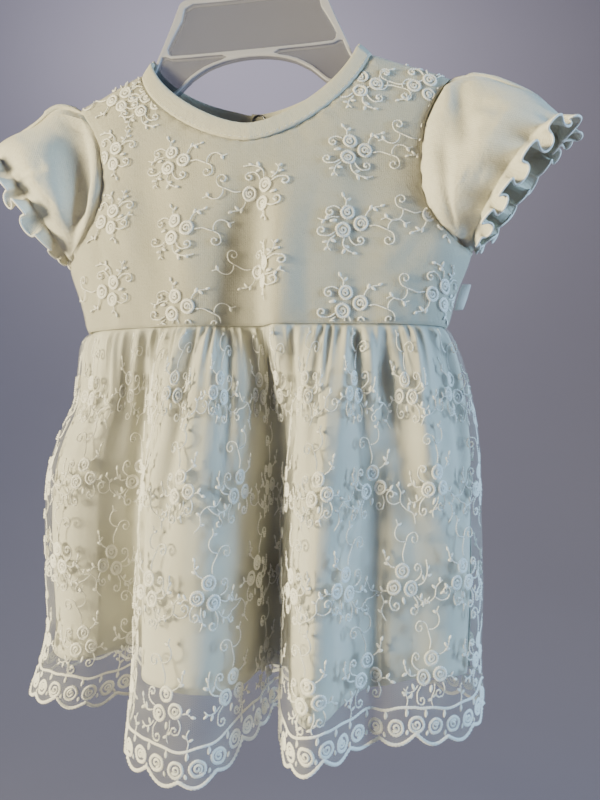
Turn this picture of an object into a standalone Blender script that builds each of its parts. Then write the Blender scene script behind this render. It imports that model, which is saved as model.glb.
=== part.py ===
"""A baby's dress on a plain moulded hanger: a jersey bodice with a lace front, cap sleeves with a rippled edge,
a bound neck that closes with a ring snap at the back, and a gathered lace skirt over a shorter plain layer."""
import bpy
from mathutils.geometry import delaunay_2d_cdt, tessellate_polygon

import math
import numpy as np

# ---- driving sizes, in millimetres. Origin: inner top of the hanger's hook. +Z up, the front faces -Y ----
CLOTH = 1.0            # wall of each cloth panel
SEAM = 0.5             # gap between panels where they are sewn
LAY = 0.35             # gap between a panel and what lies on it
NECK_W, NECK_Z = 62.5, -77.0     # neckline's half width and height at the shoulder seam
NECK_DROP_F, NECK_DROP_B = 51.5, 30.5   # how far the neckline dips at the front and at the back
BIND_H, BIND_T = 9.0, 2.0        # neck binding: height and doubled thickness
SHOULDER_W, SHOULDER_Z = 102.0, -93.0   # outer end of the shoulder seam
SLOPE = (NECK_Z - SHOULDER_Z) / (SHOULDER_W - NECK_W)
UNDER_W, UNDER_Z = 109.5, -184.0        # underarm point
WAIST_W, WAIST_Z = 98.0, -221.0         # waist seam
HEM_W, HEM_Z = 124.0, -411.5            # lace hem at the side seam
LINING_Z = -390.0                       # hem of the plain layer under the lace
BUMPS_F, BUMPS_B = 24, 18              # bumps along the scalloped hem, front and back, in lobes of three
SCALLOP_D, LOBE_D = 3.4, 4.6            # depth of a bump, and of a lobe
CUFF_TOP, CUFF_LOW = (154.6, -121.0), (110.8, -180.0)   # sleeve opening's ends, seen from the front
CUFF_HALF = math.hypot(CUFF_TOP[0] - CUFF_LOW[0], CUFF_TOP[1] - CUFF_LOW[1]) / 2
CUFF_DIR = ((CUFF_TOP[0] - CUFF_LOW[0]) / 2 / CUFF_HALF, (CUFF_TOP[1] - CUFF_LOW[1]) / 2 / CUFF_HALF)
CUFF_C = ((CUFF_TOP[0] + CUFF_LOW[0]) / 2, (CUFF_TOP[1] + CUFF_LOW[1]) / 2)
CUFF_F, CUFF_B = 27.0, 21.0             # the opening's depth to the front and to the back
CUFF_SHORT, CUFF_SHORT_B = 8.8, 6.0     # how much shorter the sleeve is in the middle of its front, and of its back
FRILL, FRILL_WAVES, FRILL_A = 9.0, 14, 3.0    # rippled sleeve edge: width, ripples all round, their height
FRILL_TIP, FRILL_DROOP = 0.80, 0.65     # how far the rippled edge tips forward at the front and hangs down at the top, in radians
LABEL_W, LABEL_H, LABEL_Z = 4.4, 13.0, -205.0
SNAP_R = 4.1
LAP_T = -0.0105         # the binding's lap lies a little left of the middle of the back: share of its length

# the dress hangs a little askew: z | how far it lies to the right of the picture
SHIFT = [(-450.0, -3.6), (-420.0, -3.5), (-380.0, -2.4), (-320.0, -1.0), (-260.0, 2.5), (-221.0, 3.5), (-184.0, 3.6), (-145.0, 4.6),
         (-120.0, 3.2), (-93.0, 0.6), (-70.0, 0.0)]
# armhole on the bodice: t from shoulder to underarm | x | z
ARMHOLE = [(0.0, SHOULDER_W, SHOULDER_Z), (0.15, 93.0, -107.0), (0.28, 87.2, -119.0), (0.42, 84.2, -133.0),
           (0.56, 83.2, -147.0), (0.68, 84.6, -158.0), (0.80, 90.0, -169.0), (0.90, 98.5, -178.0), (1.0, UNDER_W, UNDER_Z)]
# body section by height: z | half width | front depth | back depth
BODY = [(-221.0, 98.0, 33.0, 17.0), (-205.0, 102.0, 34.0, 18.0), (-184.0, 109.5, 34.0, 18.0), (-160.0, 110.5, 32.0, 16.0),
        (-127.0, 110.5, 26.0, 12.0), (-93.0, 110.5, 22.0, 8.0), (-60.0, 110.5, 20.0, 6.0)]
# skirt by height: z | share of the way from waist width to hem width | share of the folds' depth
SKIRT = [(-450.0, 1.03, 1.04), (-420.0, 1.0, 1.0), (-407.0, 0.95, 0.97), (-387.0, 0.89, 0.93), (-349.0, 0.88, 0.83), (-315.0, 0.81, 0.72),
         (-280.0, 0.69, 0.58), (-260.0, 0.54, 0.46), (-240.0, 0.34, 0.31), (-229.0, 0.17, 0.15), (-221.0, 0.0, 0.0)]
# the skirt's left side hangs closer in places: z | how far in
LEFT_IN = [(-450.0, 0.0), (-418.0, 0.0), (-405.0, 2.4), (-385.0, 5.6), (-352.0, 4.4), (-322.0, 1.2), (-294.0, 0.0), (-276.0, 2.4),
           (-260.0, 6.6), (-240.0, 4.8), (-229.0, 1.8), (-221.0, 0.0)]
# the front skirt's hem seen from above: x | y | extra drop of the lace hem | extra drop of the plain layer's hem
HEM_FRONT = [(-124.0, 0.0, 0.0, 2.0), (-121.5, -13.0, 0.0, 2.0), (-110.0, -26.0, 1.0, 3.0), (-94.0, -33.0, 2.0, 3.0), (-79.0, -30.0, 1.0, 2.0),
             (-69.0, -19.0, 0.0, 1.0), (-62.0, -15.0, 0.0, 0.0), (-55.5, -24.0, 2.0, 0.0), (-50.0, -42.0, 7.0, 0.0), (-40.0, -58.0, 13.0, 0.0),
             (-25.0, -65.0, 15.0, 0.0), (-7.0, -64.0, 13.0, 1.0), (4.0, -57.0, 10.0, 3.0), (10.5, -42.0, 6.0, 4.0), (14.0, -23.0, 3.0, 5.0),
             (18.5, -11.0, 2.0, 6.0), (23.0, -23.0, 3.0, 8.0), (26.5, -41.0, 6.0, 11.0), (32.5, -54.0, 8.0, 14.0), (42.0, -60.0, 8.0, 14.0),
             (53.0, -54.0, 6.0, 11.0), (61.0, -44.0, 3.0, 7.0), (68.0, -37.0, 1.0, 3.0), (77.0, -39.0, 1.0, 0.0), (92.0, -38.0, 2.0, -2.0),
             (107.0, -28.0, 1.0, -1.0), (119.5, -14.0, 0.0, 1.0), (124.0, 0.0, 0.0, 2.0)]
# the back skirt's hem seen from above: x | y | extra drop of the lace hem | extra drop of the plain layer's hem
HEM_BACK = [(-124.0, 0.0, 0.0, 2.0), (-118.0, 13.0, 0.0, 2.0), (-103.0, 25.0, 0.0, 2.0), (-84.0, 29.0, 0.0, 2.0), (-68.0, 22.0, 0.0, 1.0),
            (-50.0, 18.0, 0.0, 1.0), (-32.0, 27.0, 1.0, 2.0), (-12.0, 33.0, 2.0, 3.0), (8.0, 28.0, 1.0, 2.0), (24.0, 19.0, 0.0, 1.0),
            (42.0, 20.0, 0.0, 1.0), (60.0, 30.0, 1.0, 2.0), (80.0, 31.0, 1.0, 2.0), (100.0, 25.0, 0.0, 2.0), (117.0, 13.0, 0.0, 2.0),
            (124.0, 0.0, 0.0, 2.0)]
# where each fold of the front meets the waist: share of the hem's length | share of the waist's length
GATHER_F = [(0.0, 0.0), (0.215, 0.27), (0.578, 0.55), (0.80, 0.79), (1.0, 1.0)]


def spline(rows, q):
    """Smooth curve through a table whose first column rises."""
    r = np.asarray(rows, float)
    if r[0, 0] > r[-1, 0]:
        r = r[::-1]
    t, v = r[:, 0], r[:, 1:]
    q = np.clip(np.asarray(q, float), t[0], t[-1])
    dt = np.diff(t)[:, None]
    d = np.diff(v, axis=0) / dt
    m = np.empty_like(v)
    m[1:-1] = (d[:-1] * dt[1:] + d[1:] * dt[:-1]) / (dt[1:] + dt[:-1])
    m[0], m[-1] = d[0], d[-1]
    i = np.clip(np.searchsorted(t, q, side="right") - 1, 0, len(t) - 2)
    h = dt[i, 0]
    s = ((q - t[i]) / h)[..., None]
    h = h[..., None]
    return ((2 * s**3 - 3 * s**2 + 1) * v[i] + (s**3 - 2 * s**2 + s) * h * m[i]
            + (3 * s**2 - 2 * s**3) * v[i + 1] + (s**3 - s**2) * h * m[i + 1])


def even(curve, n=801):
    """A curve given by points, as a table over its share of length: share | columns."""
    c = np.asarray(curve, float)
    k = np.concatenate([[0], np.cumsum(np.linalg.norm(np.diff(c[:, :2], axis=0), axis=1))])
    fine = spline(np.column_stack([k, c]), np.linspace(0, k[-1], n))
    k2 = np.concatenate([[0], np.cumsum(np.linalg.norm(np.diff(fine[:, :2], axis=0), axis=1))])
    return np.column_stack([k2 / k2[-1], fine]), k2[-1]


def lookup(table, q):
    q = np.asarray(q, float)
    return np.stack([np.interp(q, table[:, 0], table[:, j]) for j in range(1, table.shape[1])], -1)


def bump(x, c, w):
    return np.exp(-(((x - c) / w) ** 2))


def step(x, a, b):
    t = np.clip((x - a) / (b - a), 0, 1)
    return t * t * (3 - 2 * t)


def askew(P):
    """Moves points sideways by the dress's own lean."""
    P = np.array(P, float)
    P[..., 0] += spline(SHIFT, P[..., 2])[..., 0]
    return P


def body_fold(x, z):
    """Main soft folds on the front of the bodice: one upright fold right of the middle with a hollow beside it, and shallow drags from the shoulders."""
    low = step(-z, 140, 190)
    f = 9.5 * step(x, -32.0, 6.0) * (1 - step(x, 5.5, 14.0)) * low - 2.6 * bump(x, 17.5, 7.0) * step(-z, 128, 170) - 1.6 * bump(x, -31.0, 9.0) * low
    f += 2.2 * bump(x + 0.25 * (z + 150), -52.0, 11.0) * step(-z, 118, 150) * (1 - 0.6 * step(-z, 190, 221))
    f += 1.8 * bump(x - 0.18 * (z + 150), 61.0, 12.0) * step(-z, 112, 150)
    return f


def back_fold(x, z):
    low = step(-z, 120, 180)
    return -2.6 * bump(x - 0.1 * (z + 150), -38.0, 13.0) * low - 2.2 * bump(x + 0.12 * (z + 150), 44.0, 12.0) * low + 1.6 * bump(x, 0.0, 16.0) * low


def body_y(x, z, front):
    """The bodice's outer surface: how far forward or back it stands."""
    w, df, db = np.moveaxis(spline(BODY, z), -1, 0)
    s = np.clip(np.abs(x) / w, 0, 1)
    h = np.maximum(NECK_Z - (np.abs(x) - NECK_W) * SLOPE - z, 0)
    rim = 4.4 * (1 - np.exp(-h / 1.3)) * np.sqrt(1 - s**8)
    full = np.sqrt(np.maximum(1 - s**2.1, 0)) * (1 - np.exp(-h / (34.0 if front else 30.0)))
    if front:
        return -(rim + df * full) + body_fold(x, z) * np.sqrt(np.maximum(1 - s**2.1, 0))
    return rim + db * full + back_fold(x, z) * np.sqrt(np.maximum(1 - s**2.1, 0))


def neckline(c, front):
    """c from -1 (wearer's right, at the left of the picture) to 1; the binding's lower edge."""
    a = np.asarray(c, float) * math.pi / 2
    n = 2 / 1.6
    x = NECK_W * np.sign(np.sin(a)) * np.abs(np.sin(a)) ** n
    z = NECK_Z - (NECK_DROP_F if front else NECK_DROP_B) * np.abs(np.cos(a)) ** n
    return x, z


def body_outline(front, half, n_neck, n_sh, n_arm, n_side, n_waist):
    """The panel's outline seen from the front, once round, and what each point lies on: n neck, s shoulder, a armhole, e side seam, w waist, c centre."""
    def right():
        pts = [(NECK_W + (SHOULDER_W - NECK_W) * i / n_sh, NECK_Z + (SHOULDER_Z - NECK_Z) * i / n_sh, "s") for i in range(n_sh + 1)]
        for i in range(1, n_arm):
            x, z = spline(ARMHOLE, np.array([i / n_arm]))[0]
            pts.append((x, z, "a"))
        for i in range(n_side + 1):
            z = UNDER_Z + (WAIST_Z - UNDER_Z) * i / n_side
            pts.append((spline(BODY, np.array([z]))[0, 0], z, "e"))
        return pts
    R = right()
    if half:
        pts = []
        for i in range(n_neck // 2):
            x, z = neckline(i / (n_neck // 2), front)
            pts.append((max(float(x), SEAM / 2), float(z), "c" if i == 0 else "n"))
        pts += R
        for i in range(1, n_waist // 2 + 1):
            a = math.pi / 2 * (1 - i / (n_waist // 2))
            pts.append((max(WAIST_W * math.sin(a), SEAM / 2), WAIST_Z, "w"))
        z1, z0 = WAIST_Z, float(neckline(0.0, front)[1])
        m = max(2, int(round((z0 - z1) / (WAIST_W * math.pi / n_waist))))
        pts += [(SEAM / 2, z1 + (z0 - z1) * i / m, "c") for i in range(1, m)]
    else:
        pts = []
        for i in range(n_neck + 1):
            x, z = neckline(-1 + 2 * i / n_neck, front)
            pts.append((float(x), float(z), "s" if i in (0, n_neck) else "n"))
        pts += R[1:]
        for i in range(1, n_waist):
            a = math.pi * (0.5 - i / n_waist)
            pts.append((WAIST_W * math.sin(a), WAIST_Z, "w"))
        pts += [(-x, z, k) for x, z, k in R[::-1]][:-1]
    return [(float(x), float(z)) for x, z, _ in pts], [k for _, _, k in pts]


def in_loop(P, loop):
    """Which points lie inside a closed outline."""
    L = np.asarray(loop)
    a, b = L, np.roll(L, -1, 0)
    x, y = P[:, 0][:, None], P[:, 1][:, None]
    hit = (a[:, 1] > y) != (b[:, 1] > y)
    with np.errstate(divide="ignore", invalid="ignore"):
        xs = a[:, 0] + (y - a[:, 1]) / (b[:, 1] - a[:, 1]) * (b[:, 0] - a[:, 0])
    return (hit & (x < xs)).sum(1) % 2 == 1


def from_loop(P, loop):
    """Distance of each point from a closed outline."""
    L = np.asarray(loop)
    best = np.full(len(P), 1e9)
    for a, b in zip(L, np.roll(L, -1, 0)):
        d = b - a
        t = np.clip(((P - a) @ d) / max(d @ d, 1e-12), 0, 1)
        best = np.minimum(best, np.linalg.norm(P - a - t[:, None] * d, axis=1))
    return best


def across(x, z):
    """Rough distance from the centre along the cloth."""
    w = spline(BODY, z)[..., 0]
    return np.arcsin(np.clip(x / w, -1, 1)) * 78.0


def body_panel(front, half, spacing, counts, off=0.0):
    """Points (x, z) of a bodice panel, its outline first, with the tag of each outline point."""
    loop, tags = body_outline(front, half, *counts)
    L = np.array(loop)
    gx = np.arange(-122.5 if not half else 0.0, 123.0, spacing)
    gz = np.arange(-76.0, -221.0, -spacing)
    cand = []
    for i, z in enumerate(gz):
        w = float(spline(BODY, np.array([z]))[0, 0])
        q = gx + (0.5 * spacing if i % 2 else 0.0)
        q = q[np.abs(q) < 78.0 * math.pi / 2 - 0.3 * spacing]
        cand += [(w * math.sin(v / 78.0), z) for v in q]
    n_sh = counts[1] * 2
    rows = []
    for h in (1.0, 3.4, 7.5):
        for i in range(n_sh + 1):
            x = NECK_W + 0.6 + h * 0.2 + (SHOULDER_W - NECK_W - 1.2 - h * 0.9) * i / n_sh
            for sg in ((1,) if half else (-1, 1)):
                rows.append((sg * x, NECK_Z - (x - NECK_W) * SLOPE - h))
    rows, cand = np.array(rows), np.array(cand)
    rows = rows[in_loop(rows, loop)]
    rows = rows[from_loop(rows, loop) > 0.45]
    h = NECK_Z - (np.abs(cand[:, 0]) - NECK_W) * SLOPE - cand[:, 1]
    cand = cand[in_loop(cand, loop) & ((h > 7.5 + 0.5 * spacing) | (np.abs(cand[:, 0]) < NECK_W))]
    cand = cand[from_loop(np.column_stack([across(cand[:, 0], cand[:, 1]), cand[:, 1]]), np.column_stack([across(L[:, 0], L[:, 1]), L[:, 1]])) > 0.5 * spacing]
    return np.concatenate([L, rows, cand]), tags


def body_surface(xz, tags, front):
    """Points and outward normals of a bodice panel."""
    x, z = xz[:, 0], xz[:, 1]
    w = spline(BODY, z)[..., 0]
    e = 0.02
    a = np.arcsin(np.clip(x / w, -1, 1))

    def at(a, z):
        x = spline(BODY, z)[..., 0] * np.sin(a)
        return np.stack([x, body_y(x, z, front), z], -1)
    du = at(np.clip(a + 0.01, -1.55, 1.55), z) - at(np.clip(a - 0.01, -1.55, 1.55), z)
    dz = at(a, z - e) - at(a, z + e)
    N = np.cross(dz, du)
    N = N / np.maximum(np.linalg.norm(N, axis=-1, keepdims=True), 1e-9)
    if (N[:, 1].mean() > 0) == front:
        N = -N
    P = np.stack([x, body_y(x, z, front), z], -1)
    P[:, 1] = np.minimum(P[:, 1], -SEAM / 2) if front else np.maximum(P[:, 1], SEAM / 2)
    for i, k in enumerate(tags):
        sg = 1.0 if x[i] > 0 else -1.0
        if k == "s":
            N[i] = (SLOPE * sg, 0, 1)
            P[i, 1] = -SEAM / 2 if front else SEAM / 2
        elif k == "e":
            N[i] = (sg, 0, 0)
            P[i, 1] = -SEAM / 2 if front else SEAM / 2
        elif k == "w":
            N[i, 2] = 0
        elif k == "c":
            N[i, 0] = 0
            if z[i] <= WAIST_Z:
                N[i, 2] = 0
        if z[i] <= WAIST_Z + 1e-6:
            P[i, 2] += SEAM / 2
    return P, N / np.linalg.norm(N, axis=-1, keepdims=True)


FRONT_HEM, FRONT_LEN = even(HEM_FRONT)
BACK_HEM, BACK_LEN = even(HEM_BACK)


def waist_curve(front, n=401):
    a = np.linspace(-1, 1, n) * math.pi / 2
    x = WAIST_W * np.sin(a)
    y = body_y(x, np.full(n, WAIST_Z), front)
    y[0] = y[-1] = 0
    k = np.concatenate([[0], np.cumsum(np.hypot(np.diff(x), np.diff(y)))])
    return np.column_stack([k / k[-1], x, y])


WAIST_F, WAIST_B = waist_curve(True), waist_curve(False)


def hem_z(u, front, scallop=1.0):
    """Height of the lace hem: its own drop, and bumps in lobes of three."""
    u = np.asarray(u, float)
    extra = lookup(FRONT_HEM if front else BACK_HEM, u)[..., 2]
    q = u * (BUMPS_F if front else BUMPS_B)
    fine = np.abs(np.sin(math.pi * (q + 0.25)))
    lobe = np.abs(np.sin(math.pi * (q + 0.25) / 3))
    return HEM_Z - extra + scallop * (3.0 - SCALLOP_D * fine - LOBE_D * lobe)


def lining_z(u, front):
    return LINING_Z - lookup(FRONT_HEM if front else BACK_HEM, u)[..., 3]


def skirt_point(u, z, front):
    """The skirt's surface. u is the share of the hem's length from the left to the right of the picture."""
    u, z = np.broadcast_arrays(np.asarray(u, float), np.asarray(z, float))
    g = spline(SKIRT, z)
    hem = lookup(FRONT_HEM if front else BACK_HEM, u)
    uw = np.interp(u, *zip(*GATHER_F)) if front else u
    top = lookup(WAIST_F if front else WAIST_B, uw)
    x = top[..., 0] + (hem[..., 0] - top[..., 0]) * g[..., 0]
    y = top[..., 1] + (hem[..., 1] - top[..., 1]) * g[..., 1]
    x = x + spline(LEFT_IN, z)[..., 0] * step(-x, 45.0, 92.0)
    return askew(np.stack([x, y, z + 0 * x], -1))


def sleeve_ring(a, front_only=False):
    """Armhole loop of the right half of the picture: a from 0 (shoulder) over the front (0.25) and the underarm (0.5) to the back."""
    a = np.asarray(a, float) % 1.0
    t = np.where(a <= 0.5, a * 2, 2 - 2 * a)
    xz = spline(ARMHOLE, t)
    x, z = xz[..., 0], xz[..., 1]
    yf, yb = body_y(x, z, True), body_y(x, z, False)
    end = np.clip(np.minimum(t, 1 - t) * 12, 0, 1)
    y = np.where(a <= 0.5, yf, yb) * end
    return np.stack([x, y, z], -1)


def sleeve_point(a, b, side=1):
    """a round, b from the armhole (0) to the hem's seam line (1)."""
    a, b = np.broadcast_arrays(np.asarray(a, float), np.asarray(b, float))
    A = sleeve_ring(a)
    ang = 2 * math.pi * a
    ca, sa = np.cos(ang), np.sin(ang)
    push = 1.5 + 0.0 * a
    low = step(np.abs(a - 0.5), 0.12, 0.0)
    A = A + np.stack([push - 1.2 * low, 0 * a, 2.2 * low], -1)
    dep = np.where(sa > 0, CUFF_F, CUFF_B)
    K = np.stack([CUFF_C[0] + CUFF_HALF * ca * CUFF_DIR[0], -dep * sa, CUFF_C[1] + CUFF_HALF * ca * CUFF_DIR[1]], -1)
    K = K - np.array([CUFF_DIR[1], 0.0, -CUFF_DIR[0]]) * (np.where(sa > 0, CUFF_SHORT, CUFF_SHORT_B) * np.abs(sa) ** 1.1)[..., None]
    e = b
    P = A * (1 - e[..., None]) + K * e[..., None]
    arch = 4 * b * (1 - b) * (1 - 0.25 * b)
    top = np.maximum(ca, 0)
    lift = np.stack([1.0 * top * arch, -np.sign(sa) * (6.5 + 2.5 * (sa > 0)) * np.abs(sa) ** 1.3 * arch, (11.5 * top**1.2 - 1.0 * np.maximum(-ca, 0)) * arch], -1)
    if side > 0:
        lift = lift + np.array([0.3, 0.0, 1.0]) * (3.2 * top**1.5 * bump(b, 0.78, 0.24))[..., None]
    else:
        lift = lift + np.array([0.2, 0.0, 1.0]) * (7.0 * top**1.5 * step(b, 0.45, 1.0) + 2.4 * top * bump(b, 0.24, 0.15))[..., None]
    P = P + lift
    soft = bump(a, 0.17, 0.10) * bump(b, 0.30, 0.20) * 4.0 - bump(a, 0.25, 0.11) * bump(b, 0.62, 0.22) * 1.6
    if side < 0:
        soft = bump(a - 0.10 * (b - 0.3), 0.23, 0.15) * bump(b, 0.28, 0.17) * 7.5 - bump(a, 0.22, 0.14) * bump(b, 0.72, 0.16) * 2.0
    P[..., 1] += soft * np.where(sa > 0, 1, 0)
    return P


def frill_frame(a):
    """At a round the sleeve's edge: the way the rippled edge runs out, the way it ripples, its width and its share of the ripples' height."""
    ang = 2 * math.pi * a
    ca, sa = np.cos(ang), np.sin(ang)
    out = np.stack([ca * CUFF_DIR[0], -sa, ca * CUFF_DIR[1]], -1)
    axis = np.array([CUFF_DIR[1], 0.0, -CUFF_DIR[0]])
    tan = np.stack([-sa * CUFF_HALF * CUFF_DIR[0], -np.where(sa > 0, CUFF_F, CUFF_B) * ca, -sa * CUFF_HALF * CUFF_DIR[1]], -1)
    tan = tan / np.linalg.norm(tan, axis=-1, keepdims=True)
    fore = out * 0.4 + np.array([0.0, -0.6, 0.0])
    fore = fore - tan * (fore * tan).sum(-1, keepdims=True)
    fore = fore / np.linalg.norm(fore, axis=-1, keepdims=True)
    tip = (FRILL_TIP * step(sa, 0.15, 0.8))[..., None]
    down = (FRILL_DROOP * step(ca, 0.45, 1.0) * (1 - 0.5 * step(sa, 0.0, 0.8)))[..., None]
    go = axis * np.cos(tip) * np.cos(down) + fore * np.sin(tip) - out * np.sin(down)
    go = go / np.linalg.norm(go, axis=-1, keepdims=True)
    rip = np.cross(tan, go)
    rip = rip / np.linalg.norm(rip, axis=-1, keepdims=True)
    rip = rip * np.sign((rip * out).sum(-1, keepdims=True) + 0.3)
    under = step(np.abs(a - 0.5), 0.17, 0.0)
    return go, rip, FRILL * (1 - 0.72 * under), 1 - 0.6 * under


def frill_phase(a, side, waves=FRILL_WAVES):
    s = 0.7 if side > 0 else 2.2
    ang = 2 * math.pi * a
    return waves * ang + 0.8 * np.sin(3 * ang + s) + 0.4 * np.sin(5 * ang + 2 * s)


def frill_point(a, w, side=1):
    """Rippled edge: w from 0 (seam line) to 1 (outer edge)."""
    a, w = np.broadcast_arrays(np.asarray(a, float), np.asarray(w, float))
    go, rip, wide, soft = frill_frame(a)
    wave = np.sin(frill_phase(a, side)) * FRILL_A * soft * w**0.8
    return sleeve_point(a, np.ones_like(a), side) + go * (wide * w)[..., None] + rip * wave[..., None]


def mirror(P):
    return P * np.array([-1.0, 1.0, 1.0])


def binding_edges(t, over=0.0):
    """Neck binding: t from 0 to 1 once round, starting at the middle of the back and going by the right of the picture. Returns its lower edge, upper edge and outward direction."""
    t = np.asarray(t, float) + LAP_T
    k = (t % 1.0) * 4
    front = (k > 1) & (k < 3)
    c = np.where(k <= 1, k, np.where(k < 3, 2 - k, k - 4))
    xf, zf = neckline(c, True)
    xb, zb = neckline(c, False)
    x, z = np.where(front, xf, xb), np.where(front, zf, zb)
    y = np.where(front, body_y(x, z, True), body_y(x, z, False))
    ease = step(np.abs(np.abs(c) - 1), 0.0, 0.10)
    y = y * (0.15 + 0.85 * ease) - (1 - ease) * 0.0
    lean = np.abs(c) ** 1.6
    al = np.radians(47.0) * (np.abs(x) / NECK_W) ** 0.8 * (1 - 0.30 * step(-x / NECK_W, 0.75, 1.0))
    dx, dz = -np.sign(c) * np.sin(al), np.cos(al)
    h = BIND_H * (1 + 0.15 * bump(c, -0.5, 0.3) * front)
    x1, z1 = x + h * dx, z + h * dz
    y1 = y * np.where(front, 0.93 - 0.1 * lean, 0.93 - 0.1 * lean)
    lo, hi = np.stack([x, y, z], -1), np.stack([x1, y1, z1], -1)
    return lo, hi

HANGER_T, WEB_T = 4.4, 1.8        # hanger: depth of its rims and of the web between them
HOOK_R, HOOK_W = 16.0, 5.0        # hook: inner radius and the bar's width
MM = 0.001

for ob in list(bpy.data.objects):
    bpy.data.objects.remove(ob)
for me in list(bpy.data.meshes):
    bpy.data.meshes.remove(me)

COLOURS = {
    "jersey": (0.80, 0.79, 0.72, 1.0, 0.9),
    "lace": (0.83, 0.83, 0.78, 1.0, 0.85),
    "lining": (0.76, 0.76, 0.72, 1.0, 0.9),
    "label_tape": (0.60, 0.57, 0.52, 1.0, 0.8),
    "snap_metal": (0.22, 0.22, 0.22, 1.0, 0.35),
    "clear_plastic": (0.72, 0.73, 0.76, 1.0, 0.4),
}


def material(name, slot):
    r, g, b, a, rough = COLOURS[slot]
    m = bpy.data.materials.new(slot + "_" + name)
    m.use_nodes = True
    p = m.node_tree.nodes["Principled BSDF"]
    p.inputs["Base Color"].default_value = (r, g, b, a)
    p.inputs["Roughness"].default_value = rough
    if slot == "snap_metal":
        p.inputs["Metallic"].default_value = 1.0
    m.diffuse_color = (r, g, b, a)
    return m


def add(name, verts, faces, slot, sharp=None):
    me = bpy.data.meshes.new(name)
    me.from_pydata([tuple(float(c) * MM for c in v) for v in verts], [], faces)
    me.materials.append(material(name, slot))
    me.polygons.foreach_set("use_smooth", [True] * len(me.polygons))
    me.update()
    if sharp:
        me.set_sharp_from_angle(angle=math.radians(sharp))
    ob = bpy.data.objects.new(name, me)
    bpy.context.scene.collection.objects.link(ob)
    return ob


def normals(P, wrap=False):
    """Unit normals of a grid of points, rows down and columns across. wrap joins the last column to the first."""
    if wrap:
        du = np.roll(P, -1, 1) - np.roll(P, 1, 1)
    else:
        du = np.gradient(P, axis=1)
    dv = np.gradient(P, axis=0)
    n = np.cross(dv, du)
    return n / np.maximum(np.linalg.norm(n, axis=-1, keepdims=True), 1e-9)


def unit(n):
    return n / np.maximum(np.linalg.norm(n, axis=-1, keepdims=True), 1e-9)


def turned(verts, faces):
    """The faces, turned so that they point outwards."""
    v = np.asarray(verts, float)
    vol = sum(np.dot(v[f[0]], np.cross(v[f[j]], v[f[j + 1]])) for f in faces for j in range(1, len(f) - 1))
    return [f[::-1] for f in faces] if vol < 0 else faces


def wall(name, outer, inner, slot, wrap=False):
    """A closed wall between two grids of points."""
    m, n = outer.shape[:2]
    verts = np.concatenate([outer.reshape(-1, 3), inner.reshape(-1, 3)])
    o, i = (lambda r, c: r * n + c % n), (lambda r, c: m * n + r * n + c % n)
    faces = []
    cols = range(n if wrap else n - 1)
    for r in range(m - 1):
        for c in cols:
            faces.append((o(r, c), o(r + 1, c), o(r + 1, c + 1), o(r, c + 1)))
            faces.append((i(r, c), i(r, c + 1), i(r + 1, c + 1), i(r + 1, c)))
    for c in cols:
        faces.append((o(0, c), o(0, c + 1), i(0, c + 1), i(0, c)))
        faces.append((o(m - 1, c), i(m - 1, c), i(m - 1, c + 1), o(m - 1, c + 1)))
    if not wrap:
        for r in range(m - 1):
            faces.append((o(r, 0), i(r, 0), i(r + 1, 0), o(r + 1, 0)))
            faces.append((o(r, n - 1), o(r + 1, n - 1), i(r + 1, n - 1), i(r, n - 1)))
    return add(name, verts, turned(verts, faces), slot)


# ---- bodice ----
COUNTS = (20, 3, 10, 3, 20)       # outline pieces: neckline, shoulder, armhole, side seam, waist


def body_wall(name, front, half, slot, mirrored=False, lift=0.0):
    xz, tags = body_panel(front, half, 13.0, COUNTS)
    P, N = body_surface(xz, tags, front)
    if mirrored:
        P, N = mirror(P), mirror(N)
    P = askew(P)
    n = len(tags)
    flat = np.column_stack([across(xz[:, 0], xz[:, 1]), xz[:, 1]])
    tri = delaunay_2d_cdt([tuple(map(float, p)) for p in flat], [], [tuple(range(n))], 1, 1e-4)
    keep = {}
    for i, src in enumerate(tri[3]):
        keep[i] = src[0]
    faces = [tuple(keep[i] for i in f) for f in tri[2]]
    outer = P + N * lift
    inner = outer - N * CLOTH
    verts = np.concatenate([outer, inner])
    m = len(outer)
    ff = [f for f in faces] + [tuple(m + i for i in f)[::-1] for f in faces]
    # the rim follows the direction of the outer faces
    edge = {}
    for f in faces:
        for i in range(3):
            edge[(f[i], f[(i + 1) % 3])] = True
    for a, b in list(edge):
        if (b, a) not in edge:
            ff.append((b, a, m + a, m + b))
    return add(name, verts, turned(verts, ff), slot)


body_wall("bodice_front", True, False, "jersey")
body_wall("bodice_lace", True, False, "lace", lift=LAY + CLOTH)
body_wall("bodice_back_left", False, True, "jersey")
body_wall("bodice_back_right", False, True, "jersey", mirrored=True)

# ---- neck binding, its ends lapped at the middle of the back ----
ts = np.concatenate([[-0.016, 0.0], np.arange(0, 39) / 40 - LAP_T, [0.975, 0.99, 1.004, 1.018]])     # level with the neckline's own points
lo, hi = (askew(e) for e in binding_edges(ts))
tan = np.gradient((lo + hi) / 2, axis=0)
up = unit(hi - lo)
out = unit(np.cross(tan, up))
mid = (lo + hi) / 2
if (out[:, 1] * mid[:, 1]).sum() < 0:
    out = -out
lap = step(ts, 0.949, 0.976) * (BIND_T + LAY + 0.1)
ring = []
for along, off in ((0.06, 0.75), (0.5, 1.0), (0.97, 0.75), (0.97, 0.75 - BIND_T), (0.5, 0.8 - BIND_T), (0.06, 0.75 - BIND_T)):
    ring.append(lo + (hi - lo) * along + out * (off + lap)[:, None])
ring = np.stack(ring, 1)                      # stations along, points round the section
k = ring.shape[1]
verts = ring.reshape(-1, 3)
faces = []
for r in range(len(ts) - 1):
    for c in range(k):
        faces.append((r * k + c, r * k + (c + 1) % k, (r + 1) * k + (c + 1) % k, (r + 1) * k + c))
faces.append(tuple(range(k))[::-1])
faces.append(tuple((len(ts) - 1) * k + c for c in range(k)))
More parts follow.
